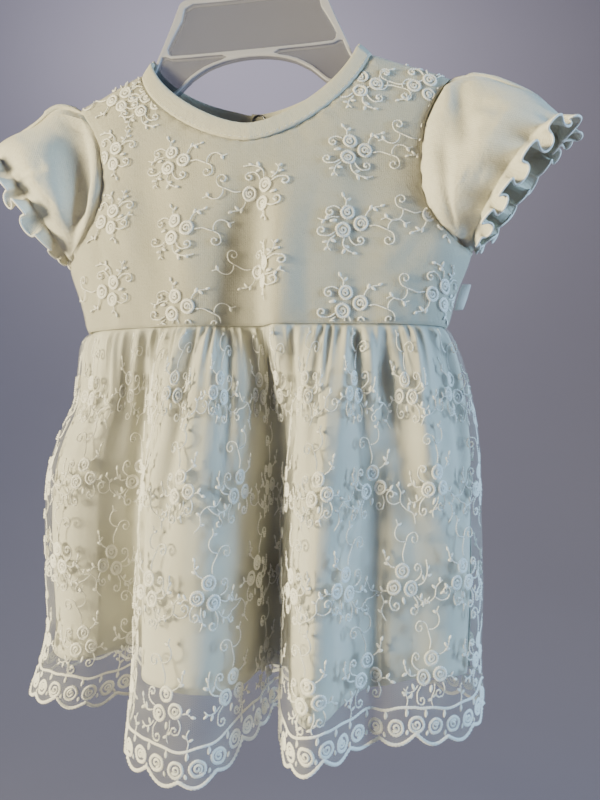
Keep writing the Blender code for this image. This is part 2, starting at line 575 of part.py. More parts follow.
add("neck_binding", verts, turned(verts, faces), "jersey")

# ---- ring snap on the lapped ends ----
lo0, hi0 = (askew(e) for e in binding_edges(np.array([0.0])))
centre = (lo0[0] + hi0[0]) / 2


def washer(name, y0, y1, r_out, r_in, n=28):
    verts, faces = [], []
    for i in range(n):
        a = 2 * math.pi * i / n
        c, s = math.cos(a), math.sin(a)
        rm = (r_out + r_in) / 2
        for r, y in ((r_out, y0), (r_out, y1), (rm, y1 + (y1 - y0) * 0.35), (r_in, y1), (r_in, y0)):
            verts.append((centre[0] + r * c, y, centre[2] + r * s))
    for i in range(n):
        j = (i + 1) % n
        for q in range(5):
            p = (q + 1) % 5
            faces.append((i * 5 + q, i * 5 + p, j * 5 + p, j * 5 + q))
    add(name, verts, turned(verts, faces), "snap_metal")


y_in = centre[1] + 0.75 - BIND_T - LAY - 0.1
washer("snap_ring_inner", y_in, y_in - 0.7, SNAP_R, SNAP_R - 1.1)
y_out = centre[1] + 1.0 + BIND_T + LAY + 0.1 + LAY + 0.3
washer("snap_ring_outer", y_out, y_out + 0.7, SNAP_R, SNAP_R - 1.1)

# ---- sleeves with their rippled edge ----
A = np.arange(64) / 64
for name, side in (("sleeve_left", 1), ("sleeve_right", -1)):
    grid = [sleeve_point(A, np.full_like(A, b), side) for b in (0.0, 0.12, 0.5, 1.0)]
    grid.append(frill_point(A, np.full_like(A, 1.0), side))
    P = np.stack(grid)
    N = normals(P, wrap=True)
    axis = P.mean(1, keepdims=True)
    if ((P - axis) * N).sum() < 0:
        N = -N
    # under the arm the sleeve is only a few millimetres long, so its wall stands square to the opening
    ax = np.array([CUFF_DIR[1], 0.0, -CUFF_DIR[0]])
    R = P - P[-2].mean(0)
    R = unit(R - (R @ ax)[..., None] * ax)
    w = step(np.abs(A - 0.5), 0.20, 0.10)[None, :, None]
    N = unit(N * (1 - w) + R * w)
    if side < 0:
        P, N = mirror(P), mirror(N)
    P = askew(P)
    T = np.array([1, 1, 1, 0.95, 0.8])[:, None, None] * CLOTH
    wall(name, P, P - N * T, "jersey", wrap=True)

# ---- skirt: lace outside, plain layer inside ----


def skirt_cols(front):
    n = BUMPS_F if front else BUMPS_B
    q = np.arange(0, 2 * n + 1) * 0.5 - 0.25
    q = q[(q > 0.05) & (q < n - 0.05)] / n
    if front:   # the deep fold in the middle keeps its own columns
        k = FRONT_HEM[np.argmin(np.abs(FRONT_HEM[:, 1] - 18.5)), 0]
        own = k + np.array([-0.026, -0.012, 0.0, 0.012, 0.026])
        q = np.sort(np.concatenate([q[np.abs(q[:, None] - own).min(1) > 0.011], own]))
    return np.concatenate([[0], q, [1]])


def skirt_grid(front, share, top, bottom):
    u = skirt_cols(front)
    zb = bottom(u)
    Z = top + (zb[None, :] - top) * share[:, None]
    U = np.broadcast_to(u, Z.shape)
    P = skirt_point(U, Z, front)
    # the surface's own normals, from close points
    e = 0.0015
    du = skirt_point(np.clip(U + e, 0, 1), Z, front) - skirt_point(np.clip(U - e, 0, 1), Z, front)
    dz = skirt_point(U, Z + 2.0, front) - skirt_point(U, Z - 2.0, front)
    N = unit(np.cross(du, dz))
    if (N[..., 1].mean() > 0) == front:
        N = -N
    N[0, :, 2] = 0
    N = unit(N)
    P[:, 0, 1] = P[:, -1, 1] = -SEAM / 2 if front else SEAM / 2
    N[:, 0], N[:, -1] = (-1, 0, 0), (1, 0, 0)
    return P, N


TOP = WAIST_Z - SEAM / 2
for front, tag in ((True, "front"), (False, "back")):
    share = np.array([0, 0.04, 0.13, 0.35, 0.68, 1.0])
    P, N = skirt_grid(front, share, TOP, lambda u: hem_z(u, front))
    wall("skirt_lace_" + tag, P, P - N * CLOTH, "lace")
    # the plain layer keeps the lace's own rows, and ends above its hem
    f = ((lining_z(skirt_cols(front), front) - P[-2, :, 2]) / (P[-1, :, 2] - P[-2, :, 2]))[:, None]
    P[-1], N[-1] = P[-2] * (1 - f) + P[-1] * f, unit(N[-2] * (1 - f) + N[-1] * f)
    gap = (CLOTH + LAY + 0.15 + 2.4 * share**0.8)[:, None, None]
    P = P - N * gap
    P[:, 0, 1] = P[:, -1, 1] = -SEAM / 2 if front else SEAM / 2
    wall("skirt_lining_" + tag, P, P - N * CLOTH, "lining")

# ---- folded label in the side seam at the picture's right ----
w0 = 2 * LAY + CLOTH + 0.2
z0, z1 = LABEL_Z - LABEL_H / 2, LABEL_Z + LABEL_H / 2
sec = [(w0, -0.9), (w0 + LABEL_W - 1.2, -1.0), (w0 + LABEL_W, -0.35), (w0 + LABEL_W, 0.35), (w0 + LABEL_W - 1.2, 1.0), (w0, 0.9),
       (w0, 0.25), (w0 + LABEL_W - 1.6, 0.3), (w0 + LABEL_W - 1.6, -0.3), (w0, -0.25)]
verts = askew([(x + float(spline(BODY, np.array([z]))[0, 0]), y, z) for z in (z0, z1) for x, y in sec])
n = len(sec)
faces = [(i, (i + 1) % n, n + (i + 1) % n, n + i) for i in range(n)]
cap = [(9, 8, 1, 0), (8, 7, 4, 1), (7, 6, 5, 4), (1, 4, 3, 2)]
faces += cap + [tuple(n + i for i in f)[::-1] for f in cap]
add("side_label", verts, turned(verts, faces), "label_tape", sharp=32)

# ---- hanger: one outline with its hook, sunk between rims ----


def arc(cx, cz, r, a0, a1, n):
    return [(cx + r * math.cos(math.radians(a0 + (a1 - a0) * i / n)), cz + r * math.sin(math.radians(a0 + (a1 - a0) * i / n))) for i in range(n + 1)]


def right_side():
    """Outline of the right half from the stem down, out along the arm and back under the arch."""
    pts = [(4.0, -37.5)] + arc(35.8, -43.2, 5.0, 88, 26, 4)       # rounded top corner of the panel
    pts += [(45.6, -54.0), (53.6, -71.6)]
    pts += [(55.2, -76.4), (59.6, -81.6), (66.0, -85.2), (78.0, -89.6), (87.0, -93.6)]   # top of the arm, under the shoulder seam
    pts += arc(87.4, -97.4, 3.8, 60, -100, 5)
    pts += [(80.0, -98.2), (68.0, -94.6), (56.0, -91.0), (46.0, -90.6), (41.0, -89.0), (36.0, -84.6), (29.0, -79.6), (20.0, -75.6), (10.0, -73.4)]
    return pts


def loops():
    right = right_side()
    left = [(-x, z) for x, z in right][::-1]
    hook = arc(0, -HOOK_R, HOOK_R + HOOK_W, 200, -72, 26)          # outside, from the tip over the top
    hook_in = arc(0, -HOOK_R, HOOK_R, -74, 200, 24)
    outline = right + [(0.0, -72.7)] + left                        # ends at the stem's left side
    outline += [(-2.5, -36.6)] + hook_in + hook
    # start: stem's right side joins the first point
    panel = [(-32.5, -41.4), (32.5, -41.4)] + arc(35.4, -44.6, 2.0, 70, 20, 2) + [(42.0, -55.5), (46.8, -64.6)] + arc(44.2, -66.0, 2.2, 10, -80, 3)
    panel += [(20.0, -68.6), (-20.0, -68.6)] + arc(-44.2, -66.0, 2.2, -100, -190, 3) + [(-46.8, -64.6), (-42.0, -55.5)] + arc(-35.4, -44.6, 2.0, 160, 110, 2)
    arm = [(49.5, -74.6), (52.6, -79.0), (58.4, -84.0), (65.0, -87.4), (76.0, -91.4), (85.6, -96.0), (79.0, -95.6), (68.0, -92.0), (57.0, -88.4), (49.0, -87.4), (44.0, -84.0), (40.5, -79.5), (42.0, -74.6)]
    arm_l = [(-x, z) for x, z in arm][::-1]
    return outline, [panel, arm, arm_l]


def area(p):
    return sum(p[i][0] * p[(i + 1) % len(p)][1] - p[(i + 1) % len(p)][0] * p[i][1] for i in range(len(p))) / 2


def clean(p):
    q = []
    for a in p:
        if not q or math.hypot(a[0] - q[-1][0], a[1] - q[-1][1]) > 0.05:
            q.append(a)
    if math.hypot(q[0][0] - q[-1][0], q[0][1] - q[-1][1]) < 0.05:
        q.pop()
    return q if area(q) > 0 else q[::-1]


outline, pockets = loops()
outline = [(x - 2.2 * float(step(-z, 31, 41)), z) for x, z in outline]
pockets = [[(x - 2.2, z) for x, z in p] for p in pockets]
outline, pockets = clean(outline), [clean(p) for p in pockets]
flat = outline + [q for p in pockets for q in p]
tris = tessellate_polygon([[(x, z, 0) for x, z in outline]] + [[(x, z, 0) for x, z in p] for p in pockets])
verts, faces = [], []
H, W = HANGER_T / 2, WEB_T / 2
base = len(flat)
verts += [(x, -H, z) for x, z in flat] + [(x, H, z) for x, z in flat]
for t in tris:
    a = area([flat[i] for i in t])
    f = tuple(t) if a > 0 else tuple(t)[::-1]
    faces.append(f)
    faces.append(tuple(base + i for i in f)[::-1])
n = len(outline)
for i in range(n):
    j = (i + 1) % n
    faces.append((i, base + i, base + j, j))
start = n
for p in pockets:
    m = len(p)
    w0 = len(verts)
    verts += [(x, -W, z) for x, z in p] + [(x, W, z) for x, z in p]
    for i in range(m):
        j = (i + 1) % m
        faces.append((start + i, start + j, w0 + j, w0 + i))
        faces.append((base + start + i, w0 + m + i, w0 + m + j, base + start + j))
    for t in tessellate_polygon([[(x, z, 0) for x, z in p]]):
        f = tuple(t) if area([p[i] for i in t]) > 0 else tuple(t)[::-1]
        faces.append(tuple(w0 + i for i in f))
        faces.append(tuple(w0 + m + i for i in f)[::-1])
    start += m
add("hanger", verts, turned(verts, faces), "clear_plastic", sharp=32)
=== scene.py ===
import bpy
from mathutils.geometry import delaunay_2d_cdt, tessellate_polygon
import math
import numpy as np
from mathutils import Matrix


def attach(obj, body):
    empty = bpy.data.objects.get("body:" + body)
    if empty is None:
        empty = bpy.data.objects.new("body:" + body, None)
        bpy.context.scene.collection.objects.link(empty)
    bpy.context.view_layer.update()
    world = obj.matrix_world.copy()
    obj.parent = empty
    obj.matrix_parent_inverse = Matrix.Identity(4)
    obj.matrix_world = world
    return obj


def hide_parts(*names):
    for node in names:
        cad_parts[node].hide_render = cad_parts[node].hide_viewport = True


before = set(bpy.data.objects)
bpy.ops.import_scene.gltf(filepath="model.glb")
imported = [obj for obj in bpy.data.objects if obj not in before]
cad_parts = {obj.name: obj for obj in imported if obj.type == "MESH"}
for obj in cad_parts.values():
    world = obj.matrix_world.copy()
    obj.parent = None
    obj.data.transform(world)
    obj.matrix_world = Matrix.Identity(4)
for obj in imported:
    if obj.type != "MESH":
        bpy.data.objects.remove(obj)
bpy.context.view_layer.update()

# ---- driving sizes, in millimetres. Origin: inner top of the hanger's hook. +Z up, the front faces -Y ----
CLOTH = 1.0            # wall of each cloth panel
SEAM = 0.5             # gap between panels where they are sewn
LAY = 0.35             # gap between a panel and what lies on it
NECK_W, NECK_Z = 62.5, -77.0     # neckline's half width and height at the shoulder seam
NECK_DROP_F, NECK_DROP_B = 51.5, 30.5   # how far the neckline dips at the front and at the back
BIND_H, BIND_T = 9.0, 2.0        # neck binding: height and doubled thickness
SHOULDER_W, SHOULDER_Z = 102.0, -93.0   # outer end of the shoulder seam
SLOPE = (NECK_Z - SHOULDER_Z) / (SHOULDER_W - NECK_W)
UNDER_W, UNDER_Z = 109.5, -184.0        # underarm point
WAIST_W, WAIST_Z = 98.0, -221.0         # waist seam
HEM_W, HEM_Z = 124.0, -411.5            # lace hem at the side seam
LINING_Z = -390.0                       # hem of the plain layer under the lace
BUMPS_F, BUMPS_B = 24, 18              # bumps along the scalloped hem, front and back, in lobes of three
SCALLOP_D, LOBE_D = 3.4, 4.6            # depth of a bump, and of a lobe
CUFF_TOP, CUFF_LOW = (154.6, -121.0), (110.8, -180.0)   # sleeve opening's ends, seen from the front
CUFF_HALF = math.hypot(CUFF_TOP[0] - CUFF_LOW[0], CUFF_TOP[1] - CUFF_LOW[1]) / 2
CUFF_DIR = ((CUFF_TOP[0] - CUFF_LOW[0]) / 2 / CUFF_HALF, (CUFF_TOP[1] - CUFF_LOW[1]) / 2 / CUFF_HALF)
CUFF_C = ((CUFF_TOP[0] + CUFF_LOW[0]) / 2, (CUFF_TOP[1] + CUFF_LOW[1]) / 2)
CUFF_F, CUFF_B = 27.0, 21.0             # the opening's depth to the front and to the back
CUFF_SHORT, CUFF_SHORT_B = 8.8, 6.0     # how much shorter the sleeve is in the middle of its front, and of its back
FRILL, FRILL_WAVES, FRILL_A = 9.0, 14, 3.0    # rippled sleeve edge: width, ripples all round, their height
FRILL_TIP, FRILL_DROOP = 0.80, 0.65     # how far the rippled edge tips forward at the front and hangs down at the top, in radians
LABEL_W, LABEL_H, LABEL_Z = 4.4, 13.0, -205.0
SNAP_R = 4.1
LAP_T = -0.0105         # the binding's lap lies a little left of the middle of the back: share of its length

# the dress hangs a little askew: z | how far it lies to the right of the picture
SHIFT = [(-450.0, -3.6), (-420.0, -3.5), (-380.0, -2.4), (-320.0, -1.0), (-260.0, 2.5), (-221.0, 3.5), (-184.0, 3.6), (-145.0, 4.6),
         (-120.0, 3.2), (-93.0, 0.6), (-70.0, 0.0)]
# armhole on the bodice: t from shoulder to underarm | x | z
ARMHOLE = [(0.0, SHOULDER_W, SHOULDER_Z), (0.15, 93.0, -107.0), (0.28, 87.2, -119.0), (0.42, 84.2, -133.0),
           (0.56, 83.2, -147.0), (0.68, 84.6, -158.0), (0.80, 90.0, -169.0), (0.90, 98.5, -178.0), (1.0, UNDER_W, UNDER_Z)]
# body section by height: z | half width | front depth | back depth
BODY = [(-221.0, 98.0, 33.0, 17.0), (-205.0, 102.0, 34.0, 18.0), (-184.0, 109.5, 34.0, 18.0), (-160.0, 110.5, 32.0, 16.0),
        (-127.0, 110.5, 26.0, 12.0), (-93.0, 110.5, 22.0, 8.0), (-60.0, 110.5, 20.0, 6.0)]
# skirt by height: z | share of the way from waist width to hem width | share of the folds' depth
SKIRT = [(-450.0, 1.03, 1.04), (-420.0, 1.0, 1.0), (-407.0, 0.95, 0.97), (-387.0, 0.89, 0.93), (-349.0, 0.88, 0.83), (-315.0, 0.81, 0.72),
         (-280.0, 0.69, 0.58), (-260.0, 0.54, 0.46), (-240.0, 0.34, 0.31), (-229.0, 0.17, 0.15), (-221.0, 0.0, 0.0)]
# the skirt's left side hangs closer in places: z | how far in
LEFT_IN = [(-450.0, 0.0), (-418.0, 0.0), (-405.0, 2.4), (-385.0, 5.6), (-352.0, 4.4), (-322.0, 1.2), (-294.0, 0.0), (-276.0, 2.4),
           (-260.0, 6.6), (-240.0, 4.8), (-229.0, 1.8), (-221.0, 0.0)]
# the front skirt's hem seen from above: x | y | extra drop of the lace hem | extra drop of the plain layer's hem
HEM_FRONT = [(-124.0, 0.0, 0.0, 2.0), (-121.5, -13.0, 0.0, 2.0), (-110.0, -26.0, 1.0, 3.0), (-94.0, -33.0, 2.0, 3.0), (-79.0, -30.0, 1.0, 2.0),
             (-69.0, -19.0, 0.0, 1.0), (-62.0, -15.0, 0.0, 0.0), (-55.5, -24.0, 2.0, 0.0), (-50.0, -42.0, 7.0, 0.0), (-40.0, -58.0, 13.0, 0.0),
             (-25.0, -65.0, 15.0, 0.0), (-7.0, -64.0, 13.0, 1.0), (4.0, -57.0, 10.0, 3.0), (10.5, -42.0, 6.0, 4.0), (14.0, -23.0, 3.0, 5.0),
             (18.5, -11.0, 2.0, 6.0), (23.0, -23.0, 3.0, 8.0), (26.5, -41.0, 6.0, 11.0), (32.5, -54.0, 8.0, 14.0), (42.0, -60.0, 8.0, 14.0),
             (53.0, -54.0, 6.0, 11.0), (61.0, -44.0, 3.0, 7.0), (68.0, -37.0, 1.0, 3.0), (77.0, -39.0, 1.0, 0.0), (92.0, -38.0, 2.0, -2.0),
             (107.0, -28.0, 1.0, -1.0), (119.5, -14.0, 0.0, 1.0), (124.0, 0.0, 0.0, 2.0)]
# the back skirt's hem seen from above: x | y | extra drop of the lace hem | extra drop of the plain layer's hem
HEM_BACK = [(-124.0, 0.0, 0.0, 2.0), (-118.0, 13.0, 0.0, 2.0), (-103.0, 25.0, 0.0, 2.0), (-84.0, 29.0, 0.0, 2.0), (-68.0, 22.0, 0.0, 1.0),
            (-50.0, 18.0, 0.0, 1.0), (-32.0, 27.0, 1.0, 2.0), (-12.0, 33.0, 2.0, 3.0), (8.0, 28.0, 1.0, 2.0), (24.0, 19.0, 0.0, 1.0),
            (42.0, 20.0, 0.0, 1.0), (60.0, 30.0, 1.0, 2.0), (80.0, 31.0, 1.0, 2.0), (100.0, 25.0, 0.0, 2.0), (117.0, 13.0, 0.0, 2.0),
            (124.0, 0.0, 0.0, 2.0)]
# where each fold of the front meets the waist: share of the hem's length | share of the waist's length
GATHER_F = [(0.0, 0.0), (0.215, 0.27), (0.578, 0.55), (0.80, 0.79), (1.0, 1.0)]


def spline(rows, q):
    """Smooth curve through a table whose first column rises."""
    r = np.asarray(rows, float)
    if r[0, 0] > r[-1, 0]:
        r = r[::-1]
    t, v = r[:, 0], r[:, 1:]
    q = np.clip(np.asarray(q, float), t[0], t[-1])
    dt = np.diff(t)[:, None]
    d = np.diff(v, axis=0) / dt
    m = np.empty_like(v)
    m[1:-1] = (d[:-1] * dt[1:] + d[1:] * dt[:-1]) / (dt[1:] + dt[:-1])
    m[0], m[-1] = d[0], d[-1]
    i = np.clip(np.searchsorted(t, q, side="right") - 1, 0, len(t) - 2)
    h = dt[i, 0]
    s = ((q - t[i]) / h)[..., None]
    h = h[..., None]
    return ((2 * s**3 - 3 * s**2 + 1) * v[i] + (s**3 - 2 * s**2 + s) * h * m[i]
            + (3 * s**2 - 2 * s**3) * v[i + 1] + (s**3 - s**2) * h * m[i + 1])


def even(curve, n=801):
    """A curve given by points, as a table over its share of length: share | columns."""
    c = np.asarray(curve, float)
    k = np.concatenate([[0], np.cumsum(np.linalg.norm(np.diff(c[:, :2], axis=0), axis=1))])
    fine = spline(np.column_stack([k, c]), np.linspace(0, k[-1], n))
    k2 = np.concatenate([[0], np.cumsum(np.linalg.norm(np.diff(fine[:, :2], axis=0), axis=1))])
    return np.column_stack([k2 / k2[-1], fine]), k2[-1]


def lookup(table, q):
    q = np.asarray(q, float)
    return np.stack([np.interp(q, table[:, 0], table[:, j]) for j in range(1, table.shape[1])], -1)


def bump(x, c, w):
    return np.exp(-(((x - c) / w) ** 2))


def step(x, a, b):
    t = np.clip((x - a) / (b - a), 0, 1)
    return t * t * (3 - 2 * t)


def askew(P):
    """Moves points sideways by the dress's own lean."""
    P = np.array(P, float)
    P[..., 0] += spline(SHIFT, P[..., 2])[..., 0]
    return P


def body_fold(x, z):
    """Main soft folds on the front of the bodice: one upright fold right of the middle with a hollow beside it, and shallow drags from the shoulders."""
    low = step(-z, 140, 190)
    f = 9.5 * step(x, -32.0, 6.0) * (1 - step(x, 5.5, 14.0)) * low - 2.6 * bump(x, 17.5, 7.0) * step(-z, 128, 170) - 1.6 * bump(x, -31.0, 9.0) * low
    f += 2.2 * bump(x + 0.25 * (z + 150), -52.0, 11.0) * step(-z, 118, 150) * (1 - 0.6 * step(-z, 190, 221))
    f += 1.8 * bump(x - 0.18 * (z + 150), 61.0, 12.0) * step(-z, 112, 150)
    return f


def back_fold(x, z):
    low = step(-z, 120, 180)
    return -2.6 * bump(x - 0.1 * (z + 150), -38.0, 13.0) * low - 2.2 * bump(x + 0.12 * (z + 150), 44.0, 12.0) * low + 1.6 * bump(x, 0.0, 16.0) * low


def body_y(x, z, front):
    """The bodice's outer surface: how far forward or back it stands."""
    w, df, db = np.moveaxis(spline(BODY, z), -1, 0)
    s = np.clip(np.abs(x) / w, 0, 1)
    h = np.maximum(NECK_Z - (np.abs(x) - NECK_W) * SLOPE - z, 0)
    rim = 4.4 * (1 - np.exp(-h / 1.3)) * np.sqrt(1 - s**8)
    full = np.sqrt(np.maximum(1 - s**2.1, 0)) * (1 - np.exp(-h / (34.0 if front else 30.0)))
    if front:
        return -(rim + df * full) + body_fold(x, z) * np.sqrt(np.maximum(1 - s**2.1, 0))
    return rim + db * full + back_fold(x, z) * np.sqrt(np.maximum(1 - s**2.1, 0))


def neckline(c, front):
    """c from -1 (wearer's right, at the left of the picture) to 1; the binding's lower edge."""
    a = np.asarray(c, float) * math.pi / 2
    n = 2 / 1.6
    x = NECK_W * np.sign(np.sin(a)) * np.abs(np.sin(a)) ** n
    z = NECK_Z - (NECK_DROP_F if front else NECK_DROP_B) * np.abs(np.cos(a)) ** n
    return x, z


def body_outline(front, half, n_neck, n_sh, n_arm, n_side, n_waist):
    """The panel's outline seen from the front, once round, and what each point lies on: n neck, s shoulder, a armhole, e side seam, w waist, c centre."""
    def right():
        pts = [(NECK_W + (SHOULDER_W - NECK_W) * i / n_sh, NECK_Z + (SHOULDER_Z - NECK_Z) * i / n_sh, "s") for i in range(n_sh + 1)]
        for i in range(1, n_arm):
            x, z = spline(ARMHOLE, np.array([i / n_arm]))[0]
            pts.append((x, z, "a"))
        for i in range(n_side + 1):
            z = UNDER_Z + (WAIST_Z - UNDER_Z) * i / n_side
            pts.append((spline(BODY, np.array([z]))[0, 0], z, "e"))
        return pts
    R = right()
    if half:
        pts = []
        for i in range(n_neck // 2):
            x, z = neckline(i / (n_neck // 2), front)
            pts.append((max(float(x), SEAM / 2), float(z), "c" if i == 0 else "n"))
        pts += R
        for i in range(1, n_waist // 2 + 1):
            a = math.pi / 2 * (1 - i / (n_waist // 2))
            pts.append((max(WAIST_W * math.sin(a), SEAM / 2), WAIST_Z, "w"))
        z1, z0 = WAIST_Z, float(neckline(0.0, front)[1])
        m = max(2, int(round((z0 - z1) / (WAIST_W * math.pi / n_waist))))
        pts += [(SEAM / 2, z1 + (z0 - z1) * i / m, "c") for i in range(1, m)]
    else:
        pts = []
        for i in range(n_neck + 1):
            x, z = neckline(-1 + 2 * i / n_neck, front)
            pts.append((float(x), float(z), "s" if i in (0, n_neck) else "n"))
        pts += R[1:]
        for i in range(1, n_waist):
            a = math.pi * (0.5 - i / n_waist)
            pts.append((WAIST_W * math.sin(a), WAIST_Z, "w"))
        pts += [(-x, z, k) for x, z, k in R[::-1]][:-1]
    return [(float(x), float(z)) for x, z, _ in pts], [k for _, _, k in pts]


def in_loop(P, loop):
    """Which points lie inside a closed outline."""
    L = np.asarray(loop)
    a, b = L, np.roll(L, -1, 0)
    x, y = P[:, 0][:, None], P[:, 1][:, None]
    hit = (a[:, 1] > y) != (b[:, 1] > y)
    with np.errstate(divide="ignore", invalid="ignore"):
        xs = a[:, 0] + (y - a[:, 1]) / (b[:, 1] - a[:, 1]) * (b[:, 0] - a[:, 0])
    return (hit & (x < xs)).sum(1) % 2 == 1


def from_loop(P, loop):
    """Distance of each point from a closed outline."""
    L = np.asarray(loop)
    best = np.full(len(P), 1e9)
    for a, b in zip(L, np.roll(L, -1, 0)):
        d = b - a
        t = np.clip(((P - a) @ d) / max(d @ d, 1e-12), 0, 1)
        best = np.minimum(best, np.linalg.norm(P - a - t[:, None] * d, axis=1))
    return best


def across(x, z):
    """Rough distance from the centre along the cloth."""
    w = spline(BODY, z)[..., 0]
    return np.arcsin(np.clip(x / w, -1, 1)) * 78.0


def body_panel(front, half, spacing, counts, off=0.0):
    """Points (x, z) of a bodice panel, its outline first, with the tag of each outline point."""
    loop, tags = body_outline(front, half, *counts)
    L = np.array(loop)
    gx = np.arange(-122.5 if not half else 0.0, 123.0, spacing)
    gz = np.arange(-76.0, -221.0, -spacing)
    cand = []
    for i, z in enumerate(gz):
        w = float(spline(BODY, np.array([z]))[0, 0])
        q = gx + (0.5 * spacing if i % 2 else 0.0)
        q = q[np.abs(q) < 78.0 * math.pi / 2 - 0.3 * spacing]
        cand += [(w * math.sin(v / 78.0), z) for v in q]
    n_sh = counts[1] * 2
    rows = []
    for h in (1.0, 3.4, 7.5):
        for i in range(n_sh + 1):
            x = NECK_W + 0.6 + h * 0.2 + (SHOULDER_W - NECK_W - 1.2 - h * 0.9) * i / n_sh
            for sg in ((1,) if half else (-1, 1)):
                rows.append((sg * x, NECK_Z - (x - NECK_W) * SLOPE - h))
    rows, cand = np.array(rows), np.array(cand)
    rows = rows[in_loop(rows, loop)]
    rows = rows[from_loop(rows, loop) > 0.45]
    h = NECK_Z - (np.abs(cand[:, 0]) - NECK_W) * SLOPE - cand[:, 1]
    cand = cand[in_loop(cand, loop) & ((h > 7.5 + 0.5 * spacing) | (np.abs(cand[:, 0]) < NECK_W))]
    cand = cand[from_loop(np.column_stack([across(cand[:, 0], cand[:, 1]), cand[:, 1]]), np.column_stack([across(L[:, 0], L[:, 1]), L[:, 1]])) > 0.5 * spacing]
    return np.concatenate([L, rows, cand]), tags


def body_surface(xz, tags, front):
    """Points and outward normals of a bodice panel."""
    x, z = xz[:, 0], xz[:, 1]
    w = spline(BODY, z)[..., 0]
    e = 0.02
    a = np.arcsin(np.clip(x / w, -1, 1))

    def at(a, z):
        x = spline(BODY, z)[..., 0] * np.sin(a)
        return np.stack([x, body_y(x, z, front), z], -1)
    du = at(np.clip(a + 0.01, -1.55, 1.55), z) - at(np.clip(a - 0.01, -1.55, 1.55), z)
    dz = at(a, z - e) - at(a, z + e)
    N = np.cross(dz, du)
    N = N / np.maximum(np.linalg.norm(N, axis=-1, keepdims=True), 1e-9)
    if (N[:, 1].mean() > 0) == front:
        N = -N
    P = np.stack([x, body_y(x, z, front), z], -1)
    P[:, 1] = np.minimum(P[:, 1], -SEAM / 2) if front else np.maximum(P[:, 1], SEAM / 2)
    for i, k in enumerate(tags):
        sg = 1.0 if x[i] > 0 else -1.0
        if k == "s":
            N[i] = (SLOPE * sg, 0, 1)
            P[i, 1] = -SEAM / 2 if front else SEAM / 2
        elif k == "e":
            N[i] = (sg, 0, 0)
            P[i, 1] = -SEAM / 2 if front else SEAM / 2
        elif k == "w":
            N[i, 2] = 0
        elif k == "c":
            N[i, 0] = 0
            if z[i] <= WAIST_Z:
                N[i, 2] = 0
        if z[i] <= WAIST_Z + 1e-6:
            P[i, 2] += SEAM / 2
    return P, N / np.linalg.norm(N, axis=-1, keepdims=True)


FRONT_HEM, FRONT_LEN = even(HEM_FRONT)
BACK_HEM, BACK_LEN = even(HEM_BACK)


def waist_curve(front, n=401):
    a = np.linspace(-1, 1, n) * math.pi / 2
    x = WAIST_W * np.sin(a)
    y = body_y(x, np.full(n, WAIST_Z), front)
    y[0] = y[-1] = 0
    k = np.concatenate([[0], np.cumsum(np.hypot(np.diff(x), np.diff(y)))])
    return np.column_stack([k / k[-1], x, y])


WAIST_F, WAIST_B = waist_curve(True), waist_curve(False)


def hem_z(u, front, scallop=1.0):
    """Height of the lace hem: its own drop, and bumps in lobes of three."""
    u = np.asarray(u, float)
    extra = lookup(FRONT_HEM if front else BACK_HEM, u)[..., 2]
    q = u * (BUMPS_F if front else BUMPS_B)
    fine = np.abs(np.sin(math.pi * (q + 0.25)))
    lobe = np.abs(np.sin(math.pi * (q + 0.25) / 3))
    return HEM_Z - extra + scallop * (3.0 - SCALLOP_D * fine - LOBE_D * lobe)


def lining_z(u, front):
    return LINING_Z - lookup(FRONT_HEM if front else BACK_HEM, u)[..., 3]


def skirt_point(u, z, front):
    """The skirt's surface. u is the share of the hem's length from the left to the right of the picture."""
    u, z = np.broadcast_arrays(np.asarray(u, float), np.asarray(z, float))
    g = spline(SKIRT, z)
    hem = lookup(FRONT_HEM if front else BACK_HEM, u)
    uw = np.interp(u, *zip(*GATHER_F)) if front else u
    top = lookup(WAIST_F if front else WAIST_B, uw)
    x = top[..., 0] + (hem[..., 0] - top[..., 0]) * g[..., 0]
    y = top[..., 1] + (hem[..., 1] - top[..., 1]) * g[..., 1]
    x = x + spline(LEFT_IN, z)[..., 0] * step(-x, 45.0, 92.0)
    return askew(np.stack([x, y, z + 0 * x], -1))


def sleeve_ring(a, front_only=False):
    """Armhole loop of the right half of the picture: a from 0 (shoulder) over the front (0.25) and the underarm (0.5) to the back."""
    a = np.asarray(a, float) % 1.0
    t = np.where(a <= 0.5, a * 2, 2 - 2 * a)
    xz = spline(ARMHOLE, t)
    x, z = xz[..., 0], xz[..., 1]
    yf, yb = body_y(x, z, True), body_y(x, z, False)
    end = np.clip(np.minimum(t, 1 - t) * 12, 0, 1)
    y = np.where(a <= 0.5, yf, yb) * end
    return np.stack([x, y, z], -1)


